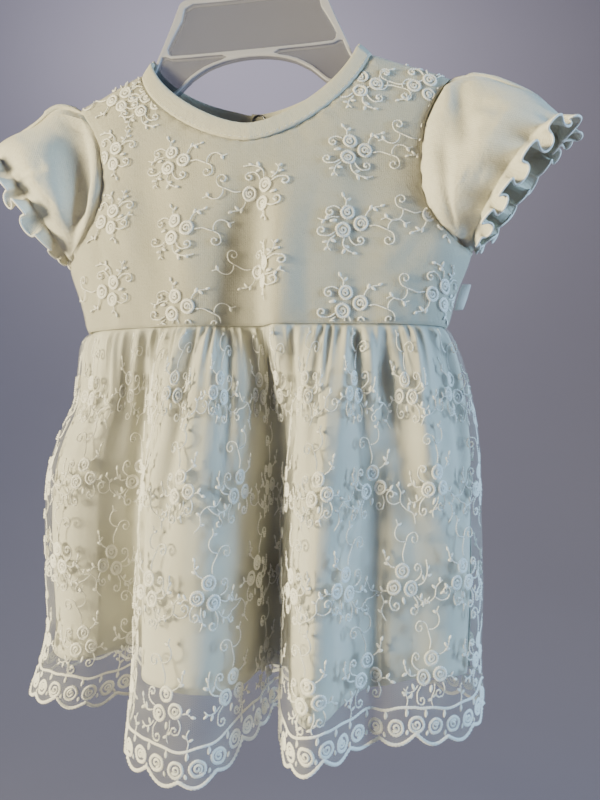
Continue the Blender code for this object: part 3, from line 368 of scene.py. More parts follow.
def sleeve_point(a, b, side=1):
    """a round, b from the armhole (0) to the hem's seam line (1)."""
    a, b = np.broadcast_arrays(np.asarray(a, float), np.asarray(b, float))
    A = sleeve_ring(a)
    ang = 2 * math.pi * a
    ca, sa = np.cos(ang), np.sin(ang)
    push = 1.5 + 0.0 * a
    low = step(np.abs(a - 0.5), 0.12, 0.0)
    A = A + np.stack([push - 1.2 * low, 0 * a, 2.2 * low], -1)
    dep = np.where(sa > 0, CUFF_F, CUFF_B)
    K = np.stack([CUFF_C[0] + CUFF_HALF * ca * CUFF_DIR[0], -dep * sa, CUFF_C[1] + CUFF_HALF * ca * CUFF_DIR[1]], -1)
    K = K - np.array([CUFF_DIR[1], 0.0, -CUFF_DIR[0]]) * (np.where(sa > 0, CUFF_SHORT, CUFF_SHORT_B) * np.abs(sa) ** 1.1)[..., None]
    e = b
    P = A * (1 - e[..., None]) + K * e[..., None]
    arch = 4 * b * (1 - b) * (1 - 0.25 * b)
    top = np.maximum(ca, 0)
    lift = np.stack([1.0 * top * arch, -np.sign(sa) * (6.5 + 2.5 * (sa > 0)) * np.abs(sa) ** 1.3 * arch, (11.5 * top**1.2 - 1.0 * np.maximum(-ca, 0)) * arch], -1)
    if side > 0:
        lift = lift + np.array([0.3, 0.0, 1.0]) * (3.2 * top**1.5 * bump(b, 0.78, 0.24))[..., None]
    else:
        lift = lift + np.array([0.2, 0.0, 1.0]) * (7.0 * top**1.5 * step(b, 0.45, 1.0) + 2.4 * top * bump(b, 0.24, 0.15))[..., None]
    P = P + lift
    soft = bump(a, 0.17, 0.10) * bump(b, 0.30, 0.20) * 4.0 - bump(a, 0.25, 0.11) * bump(b, 0.62, 0.22) * 1.6
    if side < 0:
        soft = bump(a - 0.10 * (b - 0.3), 0.23, 0.15) * bump(b, 0.28, 0.17) * 7.5 - bump(a, 0.22, 0.14) * bump(b, 0.72, 0.16) * 2.0
    P[..., 1] += soft * np.where(sa > 0, 1, 0)
    return P


def frill_frame(a):
    """At a round the sleeve's edge: the way the rippled edge runs out, the way it ripples, its width and its share of the ripples' height."""
    ang = 2 * math.pi * a
    ca, sa = np.cos(ang), np.sin(ang)
    out = np.stack([ca * CUFF_DIR[0], -sa, ca * CUFF_DIR[1]], -1)
    axis = np.array([CUFF_DIR[1], 0.0, -CUFF_DIR[0]])
    tan = np.stack([-sa * CUFF_HALF * CUFF_DIR[0], -np.where(sa > 0, CUFF_F, CUFF_B) * ca, -sa * CUFF_HALF * CUFF_DIR[1]], -1)
    tan = tan / np.linalg.norm(tan, axis=-1, keepdims=True)
    fore = out * 0.4 + np.array([0.0, -0.6, 0.0])
    fore = fore - tan * (fore * tan).sum(-1, keepdims=True)
    fore = fore / np.linalg.norm(fore, axis=-1, keepdims=True)
    tip = (FRILL_TIP * step(sa, 0.15, 0.8))[..., None]
    down = (FRILL_DROOP * step(ca, 0.45, 1.0) * (1 - 0.5 * step(sa, 0.0, 0.8)))[..., None]
    go = axis * np.cos(tip) * np.cos(down) + fore * np.sin(tip) - out * np.sin(down)
    go = go / np.linalg.norm(go, axis=-1, keepdims=True)
    rip = np.cross(tan, go)
    rip = rip / np.linalg.norm(rip, axis=-1, keepdims=True)
    rip = rip * np.sign((rip * out).sum(-1, keepdims=True) + 0.3)
    under = step(np.abs(a - 0.5), 0.17, 0.0)
    return go, rip, FRILL * (1 - 0.72 * under), 1 - 0.6 * under


def frill_phase(a, side, waves=FRILL_WAVES):
    s = 0.7 if side > 0 else 2.2
    ang = 2 * math.pi * a
    return waves * ang + 0.8 * np.sin(3 * ang + s) + 0.4 * np.sin(5 * ang + 2 * s)


def frill_point(a, w, side=1):
    """Rippled edge: w from 0 (seam line) to 1 (outer edge)."""
    a, w = np.broadcast_arrays(np.asarray(a, float), np.asarray(w, float))
    go, rip, wide, soft = frill_frame(a)
    wave = np.sin(frill_phase(a, side)) * FRILL_A * soft * w**0.8
    return sleeve_point(a, np.ones_like(a), side) + go * (wide * w)[..., None] + rip * wave[..., None]


def mirror(P):
    return P * np.array([-1.0, 1.0, 1.0])


def binding_edges(t, over=0.0):
    """Neck binding: t from 0 to 1 once round, starting at the middle of the back and going by the right of the picture.
    Returns its lower edge and upper edge.
    """
    t = np.asarray(t, float) + LAP_T
    k = (t % 1.0) * 4
    front = (k > 1) & (k < 3)
    c = np.where(k <= 1, k, np.where(k < 3, 2 - k, k - 4))
    xf, zf = neckline(c, True)
    xb, zb = neckline(c, False)
    x, z = np.where(front, xf, xb), np.where(front, zf, zb)
    y = np.where(front, body_y(x, z, True), body_y(x, z, False))
    ease = step(np.abs(np.abs(c) - 1), 0.0, 0.10)
    y = y * (0.15 + 0.85 * ease) - (1 - ease) * 0.0
    lean = np.abs(c) ** 1.6
    al = np.radians(47.0) * (np.abs(x) / NECK_W) ** 0.8 * (1 - 0.30 * step(-x / NECK_W, 0.75, 1.0))
    dx, dz = -np.sign(c) * np.sin(al), np.cos(al)
    h = BIND_H * (1 + 0.15 * bump(c, -0.5, 0.3) * front)
    x1, z1 = x + h * dx, z + h * dz
    y1 = y * np.where(front, 0.93 - 0.1 * lean, 0.93 - 0.1 * lean)
    lo, hi = np.stack([x, y, z], -1), np.stack([x1, y1, z1], -1)
    return lo, hi

# ======================================================================
# looks: everything below is in millimetres in the part's frame
# ======================================================================
MM = 0.001
TOP = WAIST_Z - SEAM / 2


def unit(n):
    return n / np.maximum(np.linalg.norm(n, axis=-1, keepdims=True), 1e-9)


def wave(x, lam, ph=0.0):
    return np.sin(2 * math.pi * x / lam + ph)


# ---- mesh helpers ----
def build(name, V, faces, mat, uv=None, corner_uv=None, sharp=None, cord=None):
    """A mesh piece from points and a list of face index arrays. uv is by point, corner_uv by face corner, both in mm of flat cloth."""
    me = bpy.data.meshes.new(name)
    fl = []
    for f in faces:
        fl += np.asarray(f).tolist()
    me.from_pydata((np.asarray(V, float) * MM).tolist(), [], fl)
    me.materials.append(mat)
    me.polygons.foreach_set("use_smooth", [True] * len(me.polygons))
    if uv is not None or corner_uv is not None:
        li = np.empty(len(me.loops), np.int32)
        me.loops.foreach_get("vertex_index", li)
        q = np.asarray(corner_uv if corner_uv is not None else np.asarray(uv)[li], np.float32)
        me.uv_layers.new(name="cloth").data.foreach_set("uv", q.ravel())
    me.update()
    if sharp:
        me.set_sharp_from_angle(angle=math.radians(sharp))
    if cord is not None:
        # thread runs are rounded over their top and meet the cloth at a sharp edge
        ev = np.empty(len(me.edges) * 2, np.int32)
        me.edges.foreach_get("vertices", ev)
        ev = cord[ev.reshape(-1, 2)]
        hard = (ev[:, 0] == ev[:, 1]) & (ev[:, 0] != 1.0)
        me.attributes.new("sharp_edge", "BOOLEAN", "EDGE").data.foreach_set("value", hard)
    ob = bpy.data.objects.new(name, me)
    bpy.context.scene.collection.objects.link(ob)
    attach(ob, "root")
    return ob


def grid_faces(m, n, wrap=False, flip=False, base=0):
    r, c = np.meshgrid(np.arange(m - 1), np.arange(n if wrap else n - 1), indexing="ij")
    r, c = r.ravel(), c.ravel()
    d = (c + 1) % n
    f = np.stack([r * n + c, (r + 1) * n + c, (r + 1) * n + d, r * n + d], 1) + base
    return f[:, ::-1] if flip else f


def grid_normals(P, wrap=False):
    if wrap:
        du = np.roll(P, -1, 1) - np.roll(P, 1, 1)
    else:
        du = np.gradient(P, axis=1)
    return unit(np.cross(np.gradient(P, axis=0), du))


def signed(V, faces):
    """Volume of a closed mesh, to tell which way its faces point."""
    v = 0.0
    for f in faces:
        f = np.asarray(f)
        for j in range(1, f.shape[1] - 1):
            v += np.einsum("ij,ij->", V[f[:, 0]], np.cross(V[f[:, j]], V[f[:, j + 1]]))
    return v


def outward(V, faces):
    return [np.asarray(f)[:, ::-1] for f in faces] if signed(V, faces) < 0 else [np.asarray(f) for f in faces]


def shell(name, outer, inner, mat, UV, wrap=False):
    """A thin closed shell between two grids of points."""
    m, n = outer.shape[:2]
    V = np.concatenate([outer.reshape(-1, 3), inner.reshape(-1, 3)])
    fo, fi = grid_faces(m, n, wrap), grid_faces(m, n, wrap, True, m * n)
    c = np.arange(n if wrap else n - 1)
    d = (c + 1) % n
    k = m * n
    top = np.stack([c, d, k + d, k + c], 1)
    b = (m - 1) * n
    bot = np.stack([b + d, b + c, k + b + c, k + b + d], 1)
    rims = [top, bot]
    if not wrap:
        r = np.arange(m - 1) * n
        rims.append(np.stack([r + n, r, k + r, k + r + n], 1))
        rims.append(np.stack([r + n - 1, r + 2 * n - 1, k + r + 2 * n - 1, k + r + n - 1], 1))
    faces = outward(V, [fo, fi] + rims)
    # corner coordinates, so that a wrapped grid has no torn column
    U = UV[..., 0].ravel()
    W = UV[..., 1].ravel()
    allf = [f for f in faces]
    cu = []
    for f in allf:
        idx = f % k
        q = np.stack([U[idx], W[idx]], -1)
        if wrap:
            span = q[..., 0].max(1) - q[..., 0].min(1)
            far = span > 0.5 * (U.max() - U.min())
            full = (U.max() - U.min()) * n / (n - 1)
            low = q[..., 0] < 0.5 * (U.max() + U.min())
            q[..., 0] = np.where(far[:, None] & low, q[..., 0] + full, q[..., 0])
        cu.append(q.reshape(-1, 2))
    return build(name, V, faces, mat, corner_uv=np.concatenate(cu))


# ---- node helpers ----
class Nodes:
    def __init__(self, name):
        self.m = bpy.data.materials.new(name)
        self.m.use_nodes = True
        self.t = self.m.node_tree
        self.p = self.t.nodes["Principled BSDF"]

    def add(self, kind, **props):
        n = self.t.nodes.new(kind)
        for k, v in props.items():
            setattr(n, k, v)
        return n

    def link(self, a, b):
        self.t.links.new(a, b)

    def put(self, **vals):
        for k, v in vals.items():
            self.p.inputs[k.replace("_", " ")].default_value = v

    def math(self, op, a, b=None, c=None):
        n = self.add("ShaderNodeMath", operation=op)
        for i, x in enumerate((a, b, c)):
            if x is None:
                continue
            if isinstance(x, (int, float)):
                n.inputs[i].default_value = x
            else:
                self.link(x, n.inputs[i])
        return n.outputs[0]

    def uv(self):
        return self.add("ShaderNodeUVMap", uv_map="cloth").outputs[0]

    def xy(self, vec):
        s = self.add("ShaderNodeSeparateXYZ")
        self.link(vec, s.inputs[0])
        return s.outputs[0], s.outputs[1]

    def obj(self):
        return self.add("ShaderNodeTexCoord").outputs["Object"]

    def noise(self, vec, scale, detail=2.0, rough=0.5):
        n = self.add("ShaderNodeTexNoise")
        self.link(vec, n.inputs["Vector"])
        n.inputs["Scale"].default_value = scale
        n.inputs["Detail"].default_value = detail
        n.inputs["Roughness"].default_value = rough
        return n.outputs[0]

    def ramp(self, x, a0, a1, b0, b1):
        n = self.add("ShaderNodeMapRange", interpolation_type="SMOOTHSTEP")
        self.link(x, n.inputs[0])
        for i, v in enumerate((a0, a1, b0, b1)):
            n.inputs[1 + i].default_value = v
        return n.outputs[0]

    def tint(self, fac, c0, c1):
        n = self.add("ShaderNodeMix", data_type="RGBA")
        self.link(fac, n.inputs[0])
        n.inputs[6].default_value = (*c0, 1)
        n.inputs[7].default_value = (*c1, 1)
        return n.outputs[2]

    def bump(self, h, strength, dist, before=None):
        n = self.add("ShaderNodeBump")
        n.inputs["Strength"].default_value = strength
        n.inputs["Distance"].default_value = dist * MM
        self.link(h, n.inputs["Height"])
        if before is not None:
            self.link(before, n.inputs["Normal"])
        return n.outputs[0]


def jersey(name="jersey_knit", c0=(0.60, 0.575, 0.465), c1=(0.70, 0.675, 0.565)):
    k = Nodes(name)
    x, y = k.xy(k.uv())
    wale = k.math("ABSOLUTE", k.math("SINE", k.math("MULTIPLY", x, math.pi / 0.95)))
    course = k.math("SINE", k.math("ADD", k.math("MULTIPLY", y, 2 * math.pi / 0.72), k.math("MULTIPLY", wale, 2.2)))
    h = k.math("ADD", k.math("MULTIPLY", wale, 0.65), k.math("MULTIPLY", course, 0.35))
    o = k.obj()
    soft = k.noise(o, 130.0, 3.0, 0.55)
    fuzz = k.noise(o, 1900.0, 2.0, 0.6)
    n1 = k.bump(soft, 0.6, 0.6)
    n2 = k.bump(h, 0.65, 0.16, n1)
    grain = k.noise(o, 560.0, 3.0, 0.65)
    n3 = k.bump(fuzz, 0.6, 0.18, k.bump(grain, 0.8, 0.42, n2))
    k.link(n3, k.p.inputs["Normal"])
    v = k.math("ADD", k.math("MULTIPLY", k.noise(o, 22.0, 3.0), 0.40), k.math("ADD", k.math("MULTIPLY", grain, 0.35), k.math("MULTIPLY", fuzz, 0.25)))
    k.link(k.tint(k.ramp(v, 0.3, 0.7, 0, 1), c0, c1), k.p.inputs["Base Color"])
    k.link(k.ramp(fuzz, 0.3, 0.7, 0.82, 0.95), k.p.inputs["Roughness"])
    k.put(Sheen_Weight=0.25, Sheen_Roughness=0.45, Specular_IOR_Level=0.25)
    return k.m


def tulle(name, cover, pitch=1.15, c0=(0.80, 0.80, 0.76), c1=(0.87, 0.87, 0.84)):
    """Fine net: a honeycomb of threads with see-through holes."""
    k = Nodes(name)
    uv = k.uv()
    rows = []
    for a in (0.0, 60.0, 120.0):
        d = k.add("ShaderNodeVectorMath", operation="DOT_PRODUCT")
        k.link(uv, d.inputs[0])
        s = 2 * math.pi / pitch
        d.inputs[1].default_value = (math.cos(math.radians(a)) * s, math.sin(math.radians(a)) * s, 0)
        rows.append(k.math("COSINE", d.outputs["Value"]))
    f = k.math("ADD", k.math("ADD", rows[0], rows[1]), rows[2])
    o = k.obj()
    loose = k.math("MULTIPLY", k.math("SUBTRACT", k.noise(o, 60.0, 2.0), 0.5), 0.5)
    f2 = k.math("ADD", f, loose)
    k.link(k.ramp(f2, cover - 0.22, cover + 0.22, 1.0, 0.03), k.p.inputs["Alpha"])
    k.link(k.bump(f, 0.4, -0.12), k.p.inputs["Normal"])
    k.link(k.tint(k.noise(o, 35.0, 3.0), c0, c1), k.p.inputs["Base Color"])
    k.put(Roughness=0.7, Sheen_Weight=0.2, Sheen_Roughness=0.4, Specular_IOR_Level=0.3)
    return k.m


def thread(name="embroidery_thread", c0=(0.90, 0.885, 0.81), c1=(0.95, 0.94, 0.88)):
    """Satin-stitched thread: fine ribs across the run, a soft shine."""
    k = Nodes(name)
    x, y = k.xy(k.uv())
    rib = k.math("SINE", k.math("ADD", k.math("MULTIPLY", x, 2 * math.pi / 0.42), k.math("MULTIPLY", y, 1.6)))
    o = k.obj()
    grain = k.noise(o, 2600.0, 2.0)
    k.link(k.bump(grain, 0.3, 0.06, k.bump(rib, 0.6, 0.12)), k.p.inputs["Normal"])
    v = k.math("ADD", k.math("MULTIPLY", k.noise(o, 90.0, 2.0), 0.7), k.math("MULTIPLY", rib, 0.15))
    k.link(k.tint(k.ramp(v, 0.15, 0.6, 0, 1), c0, c1), k.p.inputs["Base Color"])
    k.link(k.ramp(grain, 0.3, 0.7, 0.42, 0.6), k.p.inputs["Roughness"])
    k.put(Sheen_Weight=0.3, Sheen_Roughness=0.35, Specular_IOR_Level=0.4)
    return k.m


def weave(name, c0, c1, pitch=0.34, rough=(0.75, 0.9), strength=0.4):
    k = Nodes(name)
    x, y = k.xy(k.uv())
    w = k.math("MULTIPLY", k.math("SINE", k.math("MULTIPLY", x, 2 * math.pi / pitch)), k.math("SINE", k.math("MULTIPLY", y, 2 * math.pi / pitch)))
    o = k.obj()
    n = k.noise(o, 120.0, 3.0)
    k.link(k.bump(w, strength, 0.05, k.bump(n, 0.4, 0.35)), k.p.inputs["Normal"])
    fine = k.noise(o, 1500.0, 1.0)
    v = k.math("ADD", k.math("MULTIPLY", k.noise(o, 18.0, 3.0), 0.8), k.math("MULTIPLY", fine, 0.2))
    k.link(k.tint(k.ramp(v, 0.3, 0.7, 0, 1), c0, c1), k.p.inputs["Base Color"])
    k.link(k.ramp(fine, 0.3, 0.7, rough[0], rough[1]), k.p.inputs["Roughness"])
    k.put(Sheen_Weight=0.15, Sheen_Roughness=0.5, Specular_IOR_Level=0.25)
    return k.m


def plastic():
    k = Nodes("frosted_plastic")
    o = k.obj()
    frost = k.noise(o, 900.0, 3.0, 0.6)
    flow = k.noise(o, 45.0, 2.0)
    k.link(k.bump(frost, 0.25, 0.08, k.bump(flow, 0.4, 0.6)), k.p.inputs["Normal"])
    deep = k.math("ABSOLUTE", k.xy(o)[1])      # the thick rims are lighter than the thin panels: partly milkier thick plastic, partly a painted highlight on the ribs
    k.link(k.tint(k.ramp(deep, 0.0012, 0.0021, 0, 1), (0.16, 0.157, 0.168), (0.50, 0.49, 0.50)), k.p.inputs["Base Color"])
    k.link(k.ramp(frost, 0.3, 0.7, 0.30, 0.46), k.p.inputs["Roughness"])
    k.link(k.ramp(deep, 0.0012, 0.0021, 0.56, 0.62), k.p.inputs["Alpha"])
    k.put(Specular_IOR_Level=0.6)
    return k.m


def metal():
    k = Nodes("dark_nickel")
    o = k.obj()
    n = k.noise(o, 2500.0, 2.0)
    k.link(k.bump(n, 0.15, 0.03), k.p.inputs["Normal"])
    k.link(k.tint(n, (0.16, 0.16, 0.165), (0.30, 0.30, 0.30)), k.p.inputs["Base Color"])
    k.link(k.ramp(n, 0.3, 0.7, 0.28, 0.42), k.p.inputs["Roughness"])
    k.put(Metallic=1.0)
    return k.m


JERSEY = jersey()
# a darker copy of the jersey for the neck binding: painted shade on the binding's face
BINDING_SHADED = jersey("jersey_binding_painted_shade", (0.50, 0.48, 0.385), (0.59, 0.57, 0.47))
# a darker copy of the jersey for the bodice front under the net: painted shade
UNDER = jersey("jersey_under_net_painted_shade", (0.41, 0.395, 0.31), (0.51, 0.49, 0.395))
TULLE = tulle("tulle", -1.29, 0.85, (0.74, 0.74, 0.69), (0.82, 0.82, 0.78))
# the bodice's net takes a darker copy of the skirt tulle's colours: painted shade
TULLE_FINE_SHADED = tulle("tulle_bodice_painted_shade", -1.10, 0.85, (0.60, 0.585, 0.52), (0.69, 0.675, 0.61))
THREAD = thread()
STITCH = thread("sewing_thread", (0.74, 0.72, 0.65), (0.84, 0.82, 0.75))
LINING = weave("lining_weave", (0.485, 0.475, 0.40), (0.58, 0.57, 0.49))
TAPE = weave("tape_weave", (0.55, 0.52, 0.47), (0.66, 0.63, 0.57), 0.5, (0.5, 0.7), 0.6)
PLASTIC = plastic()
METAL = metal()


# ---- thread runs: three-sided closed cords drawn in the cloth's own plane ----
def smooth(pts, gap):
    """A smooth run through points, with a point every gap mm."""
    p = np.asarray(pts, float)
    k = np.concatenate([[0], np.cumsum(np.linalg.norm(np.diff(p[:, :2], axis=0), axis=1))])
    fine = spline(np.column_stack([k, p]), np.linspace(0, k[-1], max(12, int(k[-1] * 6))))
    k2 = np.concatenate([[0], np.cumsum(np.linalg.norm(np.diff(fine[:, :2], axis=0), axis=1))])
    q = np.linspace(0, k2[-1], max(3, int(round(k2[-1] / gap)) + 1))
    return np.stack([np.interp(q, k2, fine[:, j]) for j in range(p.shape[1])], -1)


class Runs:
    """Collects thread runs: points are x, y in the cloth's plane and h above it."""

    def __init__(self):
        self.v, self.f, self.t, self.uv, self.n = [], [], [], [], 0

    def run(self, p, w, h, closed=False, beat=0.25, ends=0.4, lift=0.05):
        p = np.asarray(p, float)
        n = len(p)
        t = np.roll(p, -1, 0) - np.roll(p, 1, 0) if closed else np.gradient(p, axis=0)
        t = unit(t)
        nn = np.stack([-t[:, 1], t[:, 0]], -1)
        w = np.broadcast_to(np.asarray(w, float), (n,)).copy()
        h = np.broadcast_to(np.asarray(h, float), (n,)).copy()
        alt = np.where(np.arange(n) % 2 == 0, 1.0, -1.0)
        w *= 1 + 0.5 * beat * alt
        h *= 1 + beat * alt
        if not closed:
            e = np.ones(n)
            e[0] = e[-1] = ends
            w, h = w * e, h * e
        L = np.column_stack([p + nn * w[:, None], np.full(n, lift)])
        T = np.column_stack([p, lift + h])
        R = np.column_stack([p - nn * w[:, None], np.full(n, lift)])
        self.v.append(np.stack([L, T, R], 1).reshape(-1, 3))
        s = np.concatenate([[0], np.cumsum(np.linalg.norm(np.diff(p, axis=0), axis=1))])
        self.uv.append(np.stack([np.repeat(s, 3), np.tile([0.0, 1.0, 2.0], n)], -1))
        i = np.arange(n if closed else n - 1)
        j = (i + 1) % n
        a, b = self.n + 3 * i, self.n + 3 * j
        self.f += [np.stack([a, a + 1, b + 1, b], 1), np.stack([a + 1, a + 2, b + 2, b + 1], 1), np.stack([a + 2, a, b, b + 2], 1)]
        if not closed:
            z = self.n + 3 * (n - 1)
            self.t.append(np.array([[self.n, self.n + 2, self.n + 1], [z, z + 1, z + 2]]))
        self.n += 3 * n

    def pad(self, x, y, ox, oy, inner, low, high):
        """A padded patch of satin stitches with the outline ox, oy round its centre: flat below, rounded above."""
        n, b = len(ox), self.n
        top = np.column_stack([x + ox * inner, y + oy * inner, np.full(n, high * 0.86)])
        rim = np.column_stack([x + ox, y + oy, np.full(n, low)])
        self.v.append(np.concatenate([[[x, y, high]], top, rim, [[x, y, 0.0]]]))
        self.uv.append(np.column_stack([np.concatenate([[0], ox * inner, ox, [0]]) + 0.5 * np.concatenate([[0], oy * inner, oy, [0]]), np.ones(2 * n + 2)]))
        i = np.arange(n)
        j = (i + 1) % n
        t0, r0 = b + 1, b + 1 + n
        self.t.append(np.stack([np.full(n, b), t0 + i, t0 + j], 1))
        self.f.append(np.stack([t0 + i, r0 + i, r0 + j, t0 + j], 1))
        self.t.append(np.stack([np.full(n, b + 2 * n + 1), r0 + j, r0 + i], 1))
        self.n += 2 * n + 2

    def rosette(self, x, y, r, turn=0.0, n=40):
        a = np.arange(n) * 2 * math.pi / n
        rr = (r - 0.66) * (1 + 0.035 * np.sin(2 * a + turn * 3) + 0.02 * np.sin(5 * a + turn))
        self.run(np.stack([x + rr * np.cos(a), y + rr * np.sin(a)], -1), 0.74, 0.56, True, 0.50)
        m = 30
        q = np.linspace(0, 1, m)
        a = turn + q * 2 * math.pi * 1.35
        rr = (r - 2.0) * (1 - q**1.25) + 0.28 * q
        self.run(np.stack([x + rr * np.cos(a), y + rr * np.sin(a)], -1), 0.56, 0.56, False, 0.26)

    def leaf(self, x, y, ang, ln=3.3, wd=1.5, w=0.27):
        c, s = math.cos(math.radians(ang)), math.sin(math.radians(ang))
        q = np.arange(10) * 2 * math.pi / 10
        lx = -ln / 2 * np.cos(q) * (1 + 0.06 * np.cos(3 * q))
        ly = -(wd * 1.12) / 2 * np.sin(q) * (1 + 0.22 * np.cos(q))
        self.pad(x + ln / 2 * c, y + ln / 2 * s, lx * c - ly * s, lx * s + ly * c, 0.60, 0.06, 0.42)

    def stem(self, pts, w=0.30, h=0.48, gap=0.62):
        p = smooth(pts, gap)
        self.run(p, w * 1.08, h * 0.95, False, 0.56)

    def curl(self, pts, cx, cy, r, a0, way, turns=1.15, w=0.30):
        """A run that ends in a curl round (cx, cy), entering it at angle a0."""
        q = np.linspace(0, 1, 16)
        a = math.radians(a0) + way * 2 * math.pi * turns * q
        rr = r * (1 - 0.80 * q**0.9)
        sp = np.stack([cx + rr * np.cos(a), cy + rr * np.sin(a)], -1)
        p = smooth(np.concatenate([np.asarray(pts, float).reshape(-1, 2), sp]), 0.62)
        n = len(p)
        grow = 1 + 0.55 * np.linspace(0, 1, n) ** 3
        self.run(p, w * 1.08 * grow, 0.50 * grow, False, 0.54, 0.6)

    def done(self):
        return np.concatenate(self.v), np.concatenate(self.f), np.concatenate(self.t) if self.t else np.zeros((0, 3), int), np.concatenate(self.uv)


def cluster(kind):
    """One spray: three rosettes, curls, leafy sprigs and a long tendril."""
    k = Runs()
    k.rosette(0.2, 4.9, 3.75, 0.6)
    k.rosette(-4.9, -2.2, 3.6, 2.4)
    k.rosette(4.1, -3.7, 3.8, 4.4)
    # tendril up, forking into a curl and a wavy end
    k.stem([(1.4, 9.0), (1.0, 12.4), (2.2, 15.8), (3.2, 18.2)], 0.30)
    k.curl([(3.2, 18.2), (4.6, 20.8), (7.4, 21.8)], 8.0, 18.9, 2.9, 75, -1, 1.05, 0.26)
    k.stem([(3.2, 18.2), (0.2, 18.6), (-2.2, 20.8), (-2.2, 24.0), (-0.8, 26.6), (-1.6, 29.2)], 0.27)
    k.leaf(-1.2, 26.0, 20, 3.0, 1.5)
    # curl and sprig at the upper right
    k.curl([(6.9, -0.6), (9.6, 0.8), (11.2, 3.6)], 8.7, 5.2, 2.4, -20, 1, 1.2, 0.33)
    if kind == 0:
        k.stem([(8.0, -2.7), (11.4, -2.0), (13.8, 0.6), (14.9, 4.6), (14.5, 8.6)], 0.34, 0.55)
        k.leaf(12.4, -1.0, 108, 3.3, 1.5)
        k.leaf(13.7, 0.6, 12, 3.4, 1.6)
        k.leaf(14.6, 3.6, 55, 2.8, 1.3)
    else:
        k.stem([(8.0, -2.7), (11.2, -3.2), (13.8, -1.4), (15.2, 1.8)], 0.34, 0.55)
        k.leaf(12.0, -3.0, 75, 3.3, 1.5)
        k.leaf(13.4, -2.0, -25, 3.3, 1.5)
        k.leaf(15.2, 1.6, 80, 2.8, 1.4)
    # sprig at the upper left
    k.stem([(-3.2, 6.6), (-6.2, 8.0), (-8.2, 10.8), (-8.6, 13.8)], 0.29)
    k.leaf(-6.6, 8.6, 165, 3.1, 1.5)
    k.leaf(-8.0, 10.2, 48, 3.0, 1.4)
    k.leaf(-8.6, 13.4, 115, 2.6, 1.3)
    # small sprig at the left
    k.stem([(-8.2, -3.6), (-10.8, -3.4), (-12.8, -5.0)], 0.29)
    k.leaf(-10.6, -3.4, 128, 2.9, 1.4)
    k.leaf(-12.4, -4.8, -160, 2.9, 1.4)
    # below: two curls, a leaf between, a sprig at the right
    k.curl([(-6.4, -5.8), (-7.6, -9.0), (-6.2, -12.4)], -4.5, -10.6, 2.3, -140, 1, 1.1, 0.31)
    k.leaf(-0.6, -7.0, -80, 3.7, 1.6)
    k.curl([(5.4, -7.4), (7.4, -10.6), (7.4, -13.6)], 4.9, -13.9, 2.5, 0, -1, 1.1, 0.33)
    k.stem([(7.0, -7.2), (9.8, -10.0), (12.6, -10.6), (15.0, -8.8)], 0.31)
    k.leaf(9.2, -9.4, 66, 3.2, 1.5)
    k.leaf(10.4, -10.4, -82, 3.0, 1.4)
    k.leaf(12.8, -10.5, -38, 2.7, 1.3)
    if kind == 1:
        k.stem([(-2.2, -6.0), (-2.0, -9.6), (-0.4, -13.6), (-1.2, -16.4)], 0.27)
        k.leaf(-0.8, -12.6, 150, 2.8, 1.3)
        k.leaf(-0.9, -13.2, -20, 2.8, 1.3)
    return k.done()


def vine(kind):
    """A thin wandering vine with leaves, which fills the cloth between two sprays."""
    k = Runs()
    if kind == 0:
        k.stem([(-9.5, -8.0), (-7.6, -3.4), (-3.0, -1.6), (0.8, 1.6), (1.2, 6.2), (4.4, 9.6)], 0.27)
        k.curl([(0.8, 1.6), (4.6, 0.2), (8.2, 1.8)], 6.6, 4.4, 2.5, -35, 1, 1.1, 0.27)
        k.leaf(-7.9, -4.2, 150, 2.9, 1.4)
        k.leaf(-4.6, -2.2, 78, 2.8, 1.3)
        k.leaf(1.1, 5.4, 148, 2.9, 1.4)
        k.leaf(3.0, 8.4, 96, 2.6, 1.3)
    else:
        k.stem([(9.0, -9.2), (6.0, -5.2), (6.6, -0.6), (3.4, 3.0), (-1.6, 3.6), (-4.4, 7.6)], 0.27)
        k.curl([(3.4, 3.0), (-0.6, 0.4), (-4.6, -1.6)], -4.4, -4.2, 2.4, 95, 1, 1.1, 0.27)
        k.leaf(6.4, -5.6, 165, 2.9, 1.4)
        k.leaf(6.5, -1.0, 20, 2.9, 1.4)
        k.leaf(-1.0, 3.6, 70, 2.8, 1.3)
    return k.done()


CLUSTERS = [cluster(0), cluster(1)]
VINES = [vine(0), vine(1)]


def merged(parts):
    """Joins point, quad, triangle and uv lists of several thread sets."""
    V, Q, T, W, n = [], [], [], [], 0
    for v, q, t, uv in parts:
        V.append(v)
        Q.append(q + n)
        T.append(t + n)
        W.append(uv)
        n += len(v)
    return np.concatenate(V), np.concatenate(Q), np.concatenate(T), np.concatenate(W)


def kept(V, Q, T, W, ok):
    """Drops the faces with a point that isn't ok, and the points that nothing uses."""
    Q, T = Q[ok[Q].all(1)], T[ok[T].all(1)]
    used = np.zeros(len(V), bool)
    used[Q.ravel()] = True
    used[T.ravel()] = True
    new = np.cumsum(used) - 1
    return V[used], new[Q], new[T], W[used]
